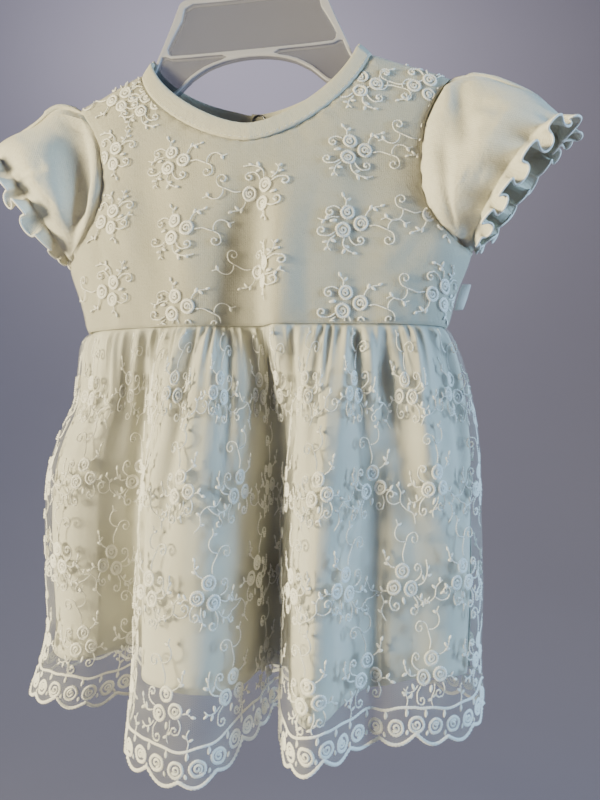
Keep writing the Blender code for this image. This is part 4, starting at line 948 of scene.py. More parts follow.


# ======================================================================
# skirt
# ======================================================================
# soft creases: u at the waist | u at its lower end | top | bottom (mm below the waist) | half width | depth
CREASE_F = [(0.060, 0.050, 4, 95, 4.0, 1.8), (0.135, 0.120, 2, 70, 3.4, 1.9), (0.205, 0.235, 3, 150, 5.0, 2.3), (0.300, 0.325, 2, 60, 3.6, 2.0),
            (0.372, 0.352, 2, 120, 4.2, 1.9), (0.452, 0.440, 3, 85, 3.6, 1.7), (0.545, 0.560, 4, 50, 3.2, 1.6), (0.640, 0.610, 3, 100, 4.0, 2.2),
            (0.690, 0.700, 2, 65, 3.4, 1.8), (0.765, 0.820, 3, 130, 5.0, 2.6), (0.850, 0.860, 3, 80, 3.8, 1.7), (0.930, 0.945, 4, 110, 4.2, 1.8)]
CREASE_B = [(0.08, 0.07, 3, 90, 4.2, 1.8), (0.19, 0.21, 2, 70, 3.8, 1.7), (0.30, 0.28, 4, 120, 4.6, 1.8), (0.43, 0.45, 3, 80, 4.0, 1.7),
            (0.55, 0.53, 2, 110, 4.4, 1.9), (0.68, 0.70, 3, 75, 3.8, 1.6), (0.80, 0.79, 3, 100, 4.2, 1.8), (0.91, 0.93, 4, 85, 4.0, 1.7)]


def gathers(u, d, front):
    """How far the gathered cloth stands off its main shape, d mm below the waist."""
    L = FRONT_LEN if front else BACK_LEN
    s = 0.0 if front else 2.1
    q = u * L
    ph = 2 * math.pi * q / 9.8 + 1.6 * wave(q, 58, 0.4 + s) + 1.0 * wave(q, 33, 2 + s) + 0.3 * np.sin(q / 9 + s) * d / 40
    amp = np.clip(0.85 + 0.40 * wave(q, 71, 1.1 + s) + 0.22 * wave(q, 23, s), 0.3, 1.4)
    fine = (np.cos(ph) + 0.28 * np.cos(2 * ph + 0.7)) * amp
    out = fine * (1.35 * (1 - np.exp(-d / 2.0)) * np.exp(-d / 13) + 0.10 * np.exp(-d / 90))
    ph2 = 2 * math.pi * q / 27 + 1.2 * wave(q, 101, s)
    out += np.cos(ph2) * 1.5 * (1 - np.exp(-d / 7)) * np.exp(-d / 48)
    out += 0.55 * wave(q + 0.03 * d, 43, 1.7 + s) * step(d, 30, 90) + 0.35 * np.sin(q * 0.11 + d * 0.045 + s) * np.sin(d * 0.06 - q * 0.05)
    out += 1.1 * (1 - np.exp(-d / 3.0)) * np.exp(-d / 45)
    for u0, u1, d0, d1, w, deep in (CREASE_F if front else CREASE_B):
        t = np.clip(d / d1, 0, 1.3)
        c = (u0 + (u1 - u0) * t) * L
        ww = w * (0.7 + 0.9 * t)
        out -= deep * bump(q, c, ww) * step(d, 0, d0 + 6) * (1 - step(d, 0.45 * d1, d1 * 1.15))
        out += 0.45 * deep * bump(q, c + 2.0 * ww, ww) * step(d, 0, d0 + 6) * (1 - step(d, 0.45 * d1, d1 * 1.1))
    if front:
        # a wide soft hollow down the right side, with a fold standing on each side of it
        t = np.clip(d / 105, 0, 1)
        c, ww = (0.802 + 0.064 * t) * L, 5.0 + 6.0 * t
        out += (1.2 * bump(q, c - 1.9 * ww, 0.8 * ww) - 3.2 * bump(q, c, ww) + 1.1 * bump(q, c + 1.8 * ww, 0.7 * ww)) * step(d, 4, 28) * (1 - 0.75 * step(d, 150, 190))
    edge = np.clip(np.minimum(u, 1 - u) * L / 9, 0, 1)
    return out * edge * edge * (3 - 2 * edge)


def rows_of(gaps, length, step_mm):
    r = list(gaps)
    while r[-1] < length:
        r.append(r[-1] + min(step_mm, 0.5 + 0.09 * (r[-1] - gaps[0]) + 0.35))
    r = np.array(r)
    return r / r[-1]


class Sheet:
    """The skirt's lace as a fine grid, which thread runs can be laid on."""

    def __init__(self, front, n, row_mm, drop, off=lambda u, s: 0.0, keep=1.0):
        self.front, self.L, self.n = front, FRONT_LEN if front else BACK_LEN, n
        self.u = np.linspace(0, 1, n)
        self.zb = drop(self.u)
        self.share = rows_of([0.0, 0.5, 1.1, 1.8], 190.0, row_mm)
        S = self.share[:, None] + 0 * self.u[None, :]
        U = self.u[None, :] + 0 * S
        Z = TOP + (self.zb[None, :] - TOP) * S
        P = skirt_point(U, Z, front)
        e = 0.0015
        du = skirt_point(np.clip(U + e, 0, 1), Z, front) - skirt_point(np.clip(U - e, 0, 1), Z, front)
        dz = skirt_point(U, np.minimum(Z + 1.5, TOP), front) - skirt_point(U, Z - 1.5, front)
        N = unit(np.cross(du, dz))
        if (N[..., 1].mean() > 0) == front:
            N = -N
        flat = np.exp(-(TOP - Z) / 3.0)[..., None]
        N = unit(N * np.array([1, 1, 0]) * flat + N * (1 - flat))
        N[:, 0], N[:, -1] = (-1, 0, 0), (1, 0, 0)
        g = gathers(U, TOP - Z, front) * keep
        g = g - 0.7 * np.exp(-(TOP - Z) / 0.8) - off(U, S)
        self.P = P + N * g[..., None]
        self.P[:, 0, 1] = self.P[:, -1, 1] = -0.15 if front else 0.15
        self.N = grid_normals(self.P)
        if (self.N[..., 1].mean() > 0) == front:
            self.N = -self.N
        # a short tuck up behind the bodice's edge
        up0 = self.P[0] - N[0] * 0.7 + np.array([0, 0, 1.0])
        up1 = self.P[0] - N[0] * 0.9 + np.array([0, 0, 2.6])
        self.full = np.concatenate([up1[None], up0[None], self.P])
        d = np.concatenate([[-2.6, -1.0], (self.share * 190.0)])
        self.uv = np.stack(np.broadcast_arrays(self.u[None, :] * self.L, -d[:, None]), -1).astype(float)
        # real length down each column for the cloth's own scale
        k = np.cumsum(np.linalg.norm(np.diff(self.full, axis=0), axis=2).mean(1))
        self.uv[1:, :, 1] = -k[:, None]
        self.uv[0, :, 1] = 0

    def at(self, u, z, h, edge=None):
        """Points h above the cloth, at share u and height z."""
        u = np.clip(u, 0.0015, 0.9985)
        zb = np.interp(u, self.u, self.zb) if edge is None else edge
        s = np.clip((z - TOP) / (zb - TOP), 0, 1.0)
        c = u * (self.n - 1)
        r = np.interp(s, self.share, np.arange(len(self.share)))
        ci, ri = np.minimum(c.astype(int), self.n - 2), np.minimum(r.astype(int), len(self.share) - 2)
        fc, fr = (c - ci)[:, None], (r - ri)[:, None]

        def mix(G):
            return (G[ri, ci] * (1 - fr) + G[ri + 1, ci] * fr) * (1 - fc) + (G[ri, ci + 1] * (1 - fr) + G[ri + 1, ci + 1] * fr) * fc
        return mix(self.P) + unit(mix(self.N)) * h[:, None]


def smooth_hem(u, front):
    """The hem without its small bumps, which the border's inner cord follows."""
    extra = lookup(FRONT_HEM if front else BACK_HEM, u)[..., 2]
    q = u * (BUMPS_F if front else BUMPS_B)
    lobe = np.abs(np.sin(math.pi * (q + 0.25) / 3))
    return HEM_Z - extra + 3.0 - 2.2 - LOBE_D * (0.25 + 0.75 * lobe)


def squeeze(z, front):
    """How much narrower the gathered cloth is at a height than at the hem."""
    u = np.linspace(0, 1, 161)
    P = skirt_point(u, np.full(161, z), front)
    k = np.linalg.norm(np.diff(P[:, :2], axis=0), axis=1).sum()
    return (k / (FRONT_LEN if front else BACK_LEN)) ** 0.55


def skirt_lining_off(u, s):
    side = 1 - np.clip(np.minimum(u, 1 - u) / 0.05, 0, 1)
    return 1.4 + 2.9 * s**0.7 + 2.6 * side * step(s, 0.02, 0.35)


for front, tag in ((True, "front"), (False, "back")):
    lace = Sheet(front, 420 if front else 290, 2.9, lambda u: hem_z(u, front))
    m, n = lace.full.shape[:2]
    ob = build("skirt_tulle_" + tag, lace.full.reshape(-1, 3), [grid_faces(m, n, flip=front)], TULLE, uv=lace.uv.reshape(-1, 2))
    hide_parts("skirt_lace_" + tag)

    lin = Sheet(front, 300 if front else 210, 4.0, lambda u: lining_z(u, front), off=skirt_lining_off)
    Nf = grid_normals(lin.full)
    if (Nf[..., 1].mean() > 0) == front:
        Nf = -Nf
    ob = shell("skirt_plain_layer_" + tag, lin.full, lin.full - Nf * 0.35, LINING, lin.uv)
    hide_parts("skirt_lining_" + tag)

    # sprays of embroidery, rows staggered by half a repeat
    L = lace.L
    count = 12 if front else 8
    parts = []
    rng = np.random.default_rng(11 if front else 12)
    for row, z0 in enumerate((-252.0, -296.0, -340.0, -384.0, -262.0, -306.0, -350.0)):
        sq = squeeze(z0, front)
        for i in range(count + 1):
            u0 = (i + (0.5 if row % 2 else 0.02)) / count + (0.012 if front else 0.0)
            if row > 3:      # vines stand between the sprays
                u0 += 0.5 / count + rng.uniform(-0.06, 0.06) / count
            if not -0.01 < u0 < 1.01:
                continue
            V, Q, T, W = (CLUSTERS if row < 4 else VINES)[(i + row) % 2]
            t = math.radians(rng.uniform(-7, 7))
            sg = 1.0 if row % 2 == 0 else -1.0
            x, y = V[:, 0] * math.cos(t) - V[:, 1] * math.sin(t), V[:, 0] * math.sin(t) + V[:, 1] * math.cos(t)
            x = x * sg
            if row == 3:      # the lowest sprays sit on the border's dips
                dz = float(smooth_hem(np.array([min(max(u0, 0), 1)]), front)[0]) + 33.0 - z0
            else:
                dz = float(lookup(FRONT_HEM if front else BACK_HEM, np.array([min(max(u0, 0), 1)]))[0, 2]) * -0.55 * ((row if row < 4 else row - 3.6) / 3)
            u = u0 + x * sq / L
            z = z0 + dz + y + rng.uniform(-1.2, 1.2)
            top_ok = z < TOP - 1.0
            low_ok = z > smooth_hem(np.clip(u, 0, 1), front) + 16.5
            ok = top_ok & low_ok & (u > 0.004) & (u < 0.996)
            X = lace.at(u, z, V[:, 2])
            flip = (sg < 0) == front
            parts.append(kept(X, Q[:, ::-1] if flip else Q, T[:, ::-1] if flip else T, W, ok))
    V, Q, T, W = merged(parts)
    ob = build("skirt_embroidery_" + tag, V, [Q, T], THREAD, uv=W, cord=W[:, 1])

    # border: corded scallop edge, inner cord, a row of rosettes between
    k = Runs()
    q = np.arange(1.2, L - 1.2, 0.75)
    k.run(np.stack([q, hem_z(q / L, front)], -1), 0.85, 0.80, False, 0.38)
    q2 = np.arange(0.6, L - 0.6, 0.8)
    zin = smooth_hem(q2 / L, front) + 15.4 + 0.5 * wave(q2, 16.9, 0.6)
    k.run(np.stack([q2, zin], -1), 0.66, 0.66, False, 0.40)
    nr = int(L / 9.75)
    cx = (np.arange(nr) + 0.5) * L / nr
    for i, x in enumerate(cx):
        zc = float(smooth_hem(np.array([x / L]), front)[0]) + 7.3 + rng.uniform(-0.5, 0.5)
        k.rosette(x, zc, 3.95 + rng.uniform(-0.15, 0.15), rng.uniform(0, 6.28), 40)
    for i in range(nr - 1):
        x = (cx[i] + cx[i + 1]) / 2
        zi = float(np.interp(x, q2, zin))
        k.run(np.stack([np.full(5, x) + 0.2 * np.sin(np.arange(5)), zi - np.linspace(0.4, 4.0, 5)], -1), [0.35, 0.6, 0.85, 0.8, 0.45], [0.4, 0.6, 0.75, 0.7, 0.4], False, 0.1, 0.8)
        k.leaf(x, zi - 13.8 + 1.6, 90 + rng.uniform(-20, 20), 2.6, 1.3, 0.24)
        if i % 3 == 1:
            k.stem([(x, zi + 0.4), (x + 0.6, zi + 3.4), (x - 0.4, zi + 6.6), (x + 0.8, zi + 9.4)], 0.28)
            k.leaf(x + 0.4, zi + 4.0, 30, 2.8, 1.3)
            k.leaf(x, zi + 5.6, 150, 2.8, 1.3)
    V, Q, T, W = k.done()
    edge = np.full(len(V), np.nan)
    X = lace.at(V[:, 0] / L, V[:, 1], V[:, 2])
    # the corded edge may reach past the net by its own half width
    low = V[:, 1] < hem_z(V[:, 0] / L, front)
    X[low, 2] -= (hem_z(V[:, 0] / L, front) - V[:, 1])[low]
    # the cord wraps the edge, so it shows inside too
    flip = not front
    build("skirt_border_" + tag, X, [Q[:, ::-1] if flip else Q, T[:, ::-1] if flip else T], THREAD, uv=W, cord=W[:, 1])


# ======================================================================
# bodice
# ======================================================================
FINE = (84, 14, 40, 14, 88)


def creases(x, z, front):
    """Small wrinkles of the jersey: ripples at the waist, neck and armholes, and soft drags between."""
    s = 0.0 if front else 1.7
    w = spline(BODY, z)[..., 0]
    side = np.clip((1 - np.abs(x) / w) * w / 7, 0, 1)
    up = z - WAIST_Z
    out = 0.42 * np.cos(2 * math.pi * x / 8.6 + 1.4 * wave(x, 47, s)) * np.exp(-up / 8) * (1 - np.exp(-up / 1.2))
    out += 0.30 * wave(x, 23, 1.0 + s) * np.exp(-up / 26)
    nx, nz = neckline(np.clip(x / NECK_W, -0.999, 0.999), front)
    zc = NECK_Z - (NECK_DROP_F if front else NECK_DROP_B) * np.sqrt(np.clip(1 - np.abs(x / NECK_W) ** 2.15, 0, 1)) ** 0.93
    dn = np.where(np.abs(x) < NECK_W, zc - z, np.hypot(np.abs(x) - NECK_W, NECK_Z - z) * 0.9)
    th = np.arctan2(x, -(z - NECK_Z) + 6)
    out += 0.26 * np.cos(th * 46 + 2 * np.sin(th * 5)) * np.exp(-np.maximum(dn, 0) / 6)
    out -= 0.55 * np.exp(-((np.maximum(dn, 0) - 1.0) / 1.6) ** 2)
    t = np.linspace(0, 1, 60)
    A = spline(ARMHOLE, t)
    da = np.min(np.hypot(np.abs(x)[..., None] - A[:, 0], z[..., None] - A[:, 1]), -1)
    out -= 0.7 * np.exp(-((da - 1.2) / 2.0) ** 2)
    out += 0.30 * np.cos(2 * math.pi * z / 10.5 + 1.5 * np.sin(z / 13 + s)) * np.exp(-da / 7)
    out += 0.42 * np.sin(0.075 * x + 0.052 * z + 0.6 + s) * np.sin(0.061 * z - 0.034 * x + s)
    out += 0.26 * np.sin(0.16 * x - 0.09 * z + 2.0 + s) * np.sin(0.10 * z + 0.07 * x)
    if front:
        # the upright fold: cloth swells a little on each side of its hollow
        lean = 0.10 * (z + 180)
        out += (1.8 * bump(x, -13.0 + lean, 8.0) + 1.7 * bump(x, 24.0 + lean, 6.5)) * step(-z, 126, 168) * (1 - np.exp(-up / 7))
    # drags down from the underarms and the shoulder points
    for sg in (-1, 1):
        for x0, z0, x1, z1, wd, dp in ((84, -166, 58, -188, 4.5, 0.9), (86, -172, 66, -205, 4.0, 0.7), (80, -140, 52, -152, 4.5, 0.55), (70, -92, 60, -124, 5.0, 0.5)):
            dx, dz = x1 - x0, z1 - z0
            ln = math.hypot(dx, dz)
            px, pz = sg * x - x0, z - z0
            q = (px * dx + pz * dz) / ln
            e = (-px * dz + pz * dx) / ln
            out -= dp * bump(e, 3.0 * np.sin(q / 14 + sg), wd) * step(q, -6, 8) * (1 - step(q, 0.55 * ln, 1.25 * ln)) * (1.0 if front else 0.8)
    return out * side - 0.55 * np.exp(-up / 0.9)


def float_off(xz):
    """How far the net stands off the jersey: close at its seams, loose between."""
    loop, _ = body_outline(True, False, *FINE)
    d = from_loop(xz, loop)
    x, z = xz[:, 0], xz[:, 1]
    return 0.32 + (0.62 + 0.28 * np.sin(0.13 * x + 0.09 * z) * np.sin(0.08 * z - 0.05 * x)) * (1 - np.exp(-np.maximum(d - 1.0, 0) / 6.0))


def bodice_points(xz, tags, front, lift=0.0):
    if not len(tags):
        w = spline(BODY, xz[:, 1])[..., 0] * 0.998
        xz = np.stack([np.clip(xz[:, 0], -w, w), np.clip(xz[:, 1], WAIST_Z + 0.05, NECK_Z)], -1)
    P, N = body_surface(xz, tags, front)
    g = creases(xz[:, 0], xz[:, 1], front)
    if lift:
        g = g + float_off(xz)
    P = P + N * g[:, None]
    return P, N


def bodice(name, node, front, half, mirrored, mat, thick, lift=0.0, counts=FINE, gap=2.5):
    xz, tags = body_panel(front, half, gap, counts)
    P, N = bodice_points(xz, tags, front, lift)
    # real normals for the inside
    n = len(tags)
    flat = np.column_stack([across(xz[:, 0], xz[:, 1]), xz[:, 1]])
    tri = delaunay_2d_cdt([tuple(map(float, p)) for p in flat], [], [tuple(range(n))], 1, 1e-4)
    F = np.array([[tri[3][i][0] for i in f] for f in tri[2]])
    if mirrored:
        P, N = mirror(P), mirror(N)
    P = askew(P)
    # cloth coordinates: distance round the body from the centre, and down
    xs = np.linspace(-115, 115, 461)
    UV = np.empty((len(P), 2))
    zq = np.linspace(-225, -74, 52)
    table = []
    for z in zq:
        w = float(spline(BODY, np.array([z]))[0, 0])
        x = np.clip(xs, -w * 0.9995, w * 0.9995)
        y = body_y(x, np.full_like(x, z), front)
        kk = np.concatenate([[0], np.cumsum(np.hypot(np.diff(x), np.diff(y)))])
        table.append(kk - np.interp(0, xs, kk))
    table = np.array(table)
    zi = np.clip((xz[:, 1] - zq[0]) / (zq[1] - zq[0]), 0, len(zq) - 1.001)
    xi = np.clip((xz[:, 0] - xs[0]) / (xs[1] - xs[0]), 0, len(xs) - 1.001)
    z0, x0 = zi.astype(int), xi.astype(int)
    fz, fx = zi - z0, xi - x0
    UV[:, 0] = (table[z0, x0] * (1 - fz) + table[z0 + 1, x0] * fz) * (1 - fx) + (table[z0, x0 + 1] * (1 - fz) + table[z0 + 1, x0 + 1] * fz) * fx
    UV[:, 1] = xz[:, 1] * 1.04
    if thick == 0:
        a, b, c = P[F[:, 0]], P[F[:, 1]], P[F[:, 2]]
        if (np.cross(b - a, c - a)[:, 1].sum() > 0) == front:
            F = F[:, ::-1]
        ob = build(name, P, [F], mat, uv=UV)
    else:
        m = len(P)
        inner = P - N * thick
        edge = {}
        for f in F:
            for i in range(3):
                edge[(f[i], f[(i + 1) % 3])] = True
        rim = np.array([(b, a, m + a, m + b) for a, b in edge if (b, a) not in edge])
        V = np.concatenate([P, inner])
        faces = outward(V, [F, F[:, ::-1] + m, rim])
        ob = build(name, V, faces, mat, uv=np.concatenate([UV, UV]))
    if node:
        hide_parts(node)
    return ob


bodice("bodice_front_jersey", "bodice_front", True, False, False, UNDER, 0.75)
bodice("bodice_tulle", "bodice_lace", True, False, False, TULLE_FINE_SHADED, 0, 0.32, (60, 10, 30, 10, 60), 3.2)
bodice("bodice_back_jersey_left", "bodice_back_left", False, True, False, JERSEY, 0.75)
bodice("bodice_back_jersey_right", "bodice_back_right", False, True, True, JERSEY, 0.75)

# sprays on the bodice lie sideways: x | z | turn | kind
SPRAYS = [(-74, -201, 90, 0), (-76, -164, 94, 1), (-78, -128, 88, 0), (-74, -94, 90, 1),
          (-33, -211, -90, 1), (-34, -173, -86, 0), (-39, -136, -92, 1), (-56, -100, -90, 0),
          (9, -195, 90, 1), (6, -157, 86, 0),
          (51, -211, -92, 0), (51, -173, -90, 1), (52, -136, -88, 0), (60, -99, -92, 1),
          (93, -206, 90, 1), (92, -168, 92, 0), (91, -131, 88, 1), (88, -100, 90, 0)]
loop, _ = body_outline(True, False, *FINE)
parts = []
rng = np.random.default_rng(5)
for x0, z0, turn, kind in SPRAYS:
    V, Q, T, W = CLUSTERS[kind]
    t = math.radians(turn + rng.uniform(-4, 4))
    X, Y = V[:, 0] * 0.98, V[:, 1] * 0.98
    lx, lz = X * math.cos(t) - Y * math.sin(t), X * math.sin(t) + Y * math.cos(t)
    w = float(spline(BODY, np.array([z0]))[0, 0])
    xs = np.linspace(-w * 0.9995, w * 0.9995, 601)
    ys = body_y(xs, np.full(601, float(z0)), True)
    kk = np.concatenate([[0], np.cumsum(np.hypot(np.diff(xs), np.diff(ys)))])
    s0 = np.interp(x0, xs, kk)
    x = np.interp(s0 + lx, kk, xs)
    z = z0 + lz * 0.97
    q = np.stack([x, z], -1)
    ok = in_loop(q, loop)
    near = from_loop(q[ok], loop)
    ok[np.where(ok)[0][near < 0.9]] = False
    P, N = bodice_points(q, [], True, 0.32)
    P = askew(P + N * V[:, 2:3])
    parts.append(kept(P, Q, T, W, ok))
V, Q, T, W = merged(parts)
build("bodice_embroidery", V, [Q, T], THREAD, uv=W, cord=W[:, 1])


# ======================================================================
# neck binding, with its stitches
# ======================================================================
def binding_frames(ts):
    lo, hi = (askew(e) for e in binding_edges(ts))
    tan = unit(np.gradient((lo + hi) / 2, axis=0))
    up = unit(hi - lo)
    out = unit(np.cross(tan, up))
    mid = (lo + hi) / 2
    if (out[:, 1] * mid[:, 1]).sum() < 0:
        out = -out
    lap = step(ts, 0.949, 0.976) * (BIND_T + LAY + 0.1)
    return lo, hi, tan, up, out, lap


ts = np.concatenate([np.linspace(-0.016, 0.94, 300), np.linspace(0.944, 1.018, 30)])
lo, hi, tan, up, out, lap = binding_frames(ts)
run_mm = np.concatenate([[0], np.cumsum(np.linalg.norm(np.diff((lo + hi) / 2, axis=0), axis=1))])
prof = []
for i in range(8):                      # outer face, from the lower seam up
    a = i / 7
    prof.append((0.00 + 0.95 * a, 0.15 + 0.90 * math.sin(math.pi * (0.10 + 0.62 * a)) ** 0.7))
prof += [(1.015, 0.55), (1.035, 0.0), (1.015, -0.65)]
for i in range(5):
    a = 1 - i / 4
    prof.append((0.05 + 0.90 * a, 0.55 - BIND_T + 0.10 * math.sin(math.pi * a)))
ring = []
for j, (along, off) in enumerate(prof):
    rip = 0.13 * np.cos(2 * math.pi * run_mm / 5.6 + 1.2 * np.sin(run_mm / 17)) * math.exp(-along / 0.35)
    rip = rip + 0.16 * np.sin(run_mm / 9.0 + 3 * along) * math.sin(math.pi * min(along, 1))
    ring.append(lo + (hi - lo) * along + out * (off + lap + rip)[:, None])
ring = np.stack(ring, 1)
m, k = ring.shape[:2]
V = ring.reshape(-1, 3)
fs = [grid_faces(m, k, wrap=True)]
c = np.arange(k)
V = np.concatenate([V, ring[0].mean(0)[None], ring[-1].mean(0)[None]])
fs.append(np.stack([c, (c + 1) % k, np.full(k, m * k)], 1))
fs.append(np.stack([(m - 1) * k + (c + 1) % k, (m - 1) * k + c, np.full(k, m * k + 1)], 1))
s = np.concatenate([[0], np.cumsum(np.linalg.norm(np.diff(ring[150], axis=0), axis=1))])
uvb = np.stack(np.broadcast_arrays(run_mm[:, None], s[None, :]), -1).reshape(-1, 2)
uvb = np.concatenate([uvb, uvb[:1], uvb[-1:]])
ob = build("neck_binding_jersey", V, outward(V, fs), BINDING_SHADED, uv=uvb)
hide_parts("neck_binding")


def stitches(name, P, T, up, out, length, wide, high, mat):
    """Short raised stitches: small closed lozenges laid along a line."""
    V, F = [], []
    side = unit(np.cross(out, T))
    for i in range(len(P)):
        p, t, s, o = P[i], T[i], side[i], out[i]
        b = len(V)
        for a, w, h in ((-0.5, 0.0, 0.0), (-0.28, 1.0, 0.8), (0.28, 1.0, 0.8), (0.5, 0.0, 0.0)):
            c = p + t * a * length
            if w == 0:
                V.append(c)
            else:
                V += [c + s * wide / 2, c + o * high * h, c - s * wide / 2]
        f = [(b, b + 2, b + 1), (b, b + 3, b + 2), (b, b + 1, b + 3)]
        for j in range(3):
            f.append((b + 1 + j, b + 1 + (j + 1) % 3, b + 4 + j))
            f.append((b + 1 + (j + 1) % 3, b + 4 + (j + 1) % 3, b + 4 + j))
        f += [(b + 7, b + 4, b + 5), (b + 7, b + 5, b + 6), (b + 7, b + 6, b + 4)]
        F += f
    V, F = np.array(V), np.array(F)
    F = outward(V, [F])[0]
    uv = np.stack([V[:, 0] * 1.3, V[:, 2] * 1.3], -1)
    return build(name, V, [F], mat, uv=uv)


tq = np.interp(np.arange(1.2, run_mm[-1] - 1.2, 2.55), run_mm, ts)
l2, h2, t2, u2, o2, lp2 = binding_frames(tq)
P = l2 + (h2 - l2) * 0.155 + o2 * (0.15 + 0.90 * math.sin(math.pi * 0.20) ** 0.7 + lp2 + 0.02)[:, None]
stitches("neck_stitches", P, t2, u2, o2, 1.9, 0.42, 0.30, STITCH)

# ======================================================================
# ring snap
# ======================================================================
lo0, hi0 = (askew(e) for e in binding_edges(np.array([0.0])))
centre = (lo0[0] + hi0[0]) / 2


def ring_snap(name, node, y0, way):
    """A pressed metal ring with small teeth marks, turned to face way."""
    prof = [(SNAP_R, 0.0), (SNAP_R + 0.02, 0.28), (SNAP_R - 0.12, 0.55), (SNAP_R - 0.35, 0.74), (SNAP_R - 0.62, 0.74), (SNAP_R - 0.88, 0.58),
            (SNAP_R - 1.05, 0.32), (SNAP_R - 1.1, 0.0)]
    n, k = 64, len(prof)
    a = np.arange(n) * 2 * math.pi / n
    V = np.array([[centre[0] + r * math.cos(t), y0 + way * (h * (1 - 0.10 * (math.cos(6 * t) > 0.93) * (h > 0.5))), centre[2] + r * math.sin(t)] for t in a for r, h in prof])
    F = []
    for i in range(n):
        j = (i + 1) % n
        for q in range(k):
            F.append((i * k + q, i * k + (q + 1) % k, j * k + (q + 1) % k, j * k + q))
    ob = build(name, V, outward(V, [np.array(F)]), METAL, sharp=50)
    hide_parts(node)
    return ob


y_in = centre[1] + 0.75 - BIND_T - LAY - 0.1
ring_snap("snap_ring_inner_metal", "snap_ring_inner", y_in, -1)
y_out = centre[1] + 1.0 + BIND_T + LAY + 0.1 + LAY + 0.3
ring_snap("snap_ring_outer_metal", "snap_ring_outer", y_out, 1)


# ======================================================================
# sleeves
# ======================================================================
def drag(a, b, path, outer, inner, deep):
    """A trough along a path over the sleeve, given by pairs of a and b. It is outer mm wide towards the edge and inner mm wide towards the armhole, and fades at its ends."""
    p = np.array(path, float) * (196.0, 52.0)
    q = np.stack([a * 196.0, b * 52.0], -1)
    seg = np.diff(p, axis=0)
    ln = np.linalg.norm(seg, axis=1)
    total, run = ln.sum(), 0.0
    best, out = np.full(a.shape, 1e9), np.zeros(a.shape)
    for p0, d, l in zip(p, seg, ln):
        t = np.clip(((q - p0) @ d) / (l * l), 0, 1)
        r = q - p0 - t[..., None] * d
        dist = np.linalg.norm(r, axis=-1)
        w = np.where(d[0] * r[..., 1] - d[1] * r[..., 0] > 0, outer, inner)
        k = (run + t * l) / total
        v = deep * np.exp(-((dist / w) ** 2)) * (0.15 + 0.85 * step(k, 0.0, 0.18) * (1 - step(k, 0.80, 1.0)))
        out = np.where(dist < best, v, out)
        best = np.minimum(dist, best)
        run += l
    return out


# troughs (and ridges, where the depth is below 0) of each sleeve: path | width towards the edge | width towards the armhole | depth
DRAGS_L = [([(0.020, 0.09), (0.092, 0.206), (0.147, 0.312), (0.193, 0.381), (0.235, 0.43)], 4.2, 3.4, 2.3),
           ([(0.015, 0.02), (0.060, 0.10), (0.105, 0.15), (0.15, 0.19)], 3.5, 4.5, -1.3),
           ([(0.20, 0.18), (0.295, 0.281), (0.355, 0.331), (0.417, 0.344), (0.455, 0.30)], 4.0, 3.2, 1.7),
           ([(0.12, 0.36), (0.137, 0.50), (0.155, 0.68)], 3.4, 3.4, 1.2), ([(0.168, 0.40), (0.182, 0.52), (0.190, 0.66)], 4.2, 4.2, 0.9),
           ([(0.30, 0.50), (0.31, 0.66), (0.30, 0.82)], 5.0, 5.0, 0.9),
           ([(0.965, 0.06), (0.93, 0.30), (0.90, 0.62)], 4.0, 4.0, 1.7), ([(0.84, 0.08), (0.80, 0.32), (0.81, 0.66)], 4.6, 4.6, 1.8),
           ([(0.70, 0.10), (0.72, 0.36), (0.69, 0.74)], 4.0, 4.0, 1.5), ([(0.62, 0.20), (0.66, 0.42), (0.65, 0.78)], 3.6, 3.6, 1.0)]
DRAGS_R = [([(0.025, 0.05), (0.125, 0.10), (0.215, 0.15), (0.290, 0.213), (0.370, 0.262), (0.42, 0.33)], 12.0, 4.0, 4.6),
           ([(0.06, 0.0), (0.16, 0.03), (0.26, 0.04), (0.36, 0.06)], 4.5, 4.5, -1.2),
           ([(0.218, 1.0), (0.221, 0.76), (0.213, 0.60), (0.208, 0.50)], 2.6, 3.4, 1.9), ([(0.24, 0.98), (0.245, 0.80), (0.235, 0.64)], 3.2, 3.2, -0.8),
           ([(0.085, 0.30), (0.10, 0.52), (0.12, 0.74)], 6.0, 6.0, 0.9), ([(0.30, 0.60), (0.32, 0.76), (0.30, 0.92)], 4.4, 4.4, 1.1),
           ([(0.97, 0.05), (0.94, 0.34), (0.90, 0.70)], 4.4, 4.4, 1.6), ([(0.86, 0.08), (0.82, 0.30), (0.80, 0.70)], 4.6, 4.6, 1.9),
           ([(0.73, 0.08), (0.70, 0.36), (0.72, 0.70)], 4.0, 4.0, 1.4), ([(0.61, 0.24), (0.65, 0.46), (0.64, 0.80)], 3.6, 3.6, 1.0)]


def sleeve_soft(a, b, side):
    """Small folds of a sleeve: a few long troughs and ridges, and short ripples above the rippled edge."""
    s = 0.0 if side > 0 else 1.9
    ph = frill_phase(a, side)
    g = 0.10 * np.cos(2 * math.pi * a * 44 + 2.0 * np.sin(2 * math.pi * a * 5 + s)) * np.exp(-b / 0.10) * (1 - np.exp(-b / 0.015))
    g += (0.75 * np.sin(ph) + 0.25 * np.cos(2 * ph + 1)) * np.exp(-(1 - b) / 0.075)
    g += 0.40 * np.sin(2 * math.pi * (3 * a + 0.35 * b) + s) * np.sin(math.pi * b) + 0.28 * np.sin(2 * math.pi * (7 * a - 0.5 * b) + 1 + s) * np.sin(math.pi * b)
    g += (1.3 * (1 - np.exp(-b / 0.05)) * np.exp(-b / 0.35) - 1.0 * bump(b, 0.62, 0.3)) * (1 - np.maximum(np.cos(2 * math.pi * a), 0) ** 3) - 2.2 * np.maximum(np.cos(2 * math.pi * a), 0) ** 4 * bump(b, 0.62, 0.28)
    for path, outer, inner, deep in (DRAGS_L if side > 0 else DRAGS_R):
        g -= drag(a, b, path, outer, inner, deep)
    low = step(np.abs(a - 0.5), 0.05, 0.12)
    return g * low


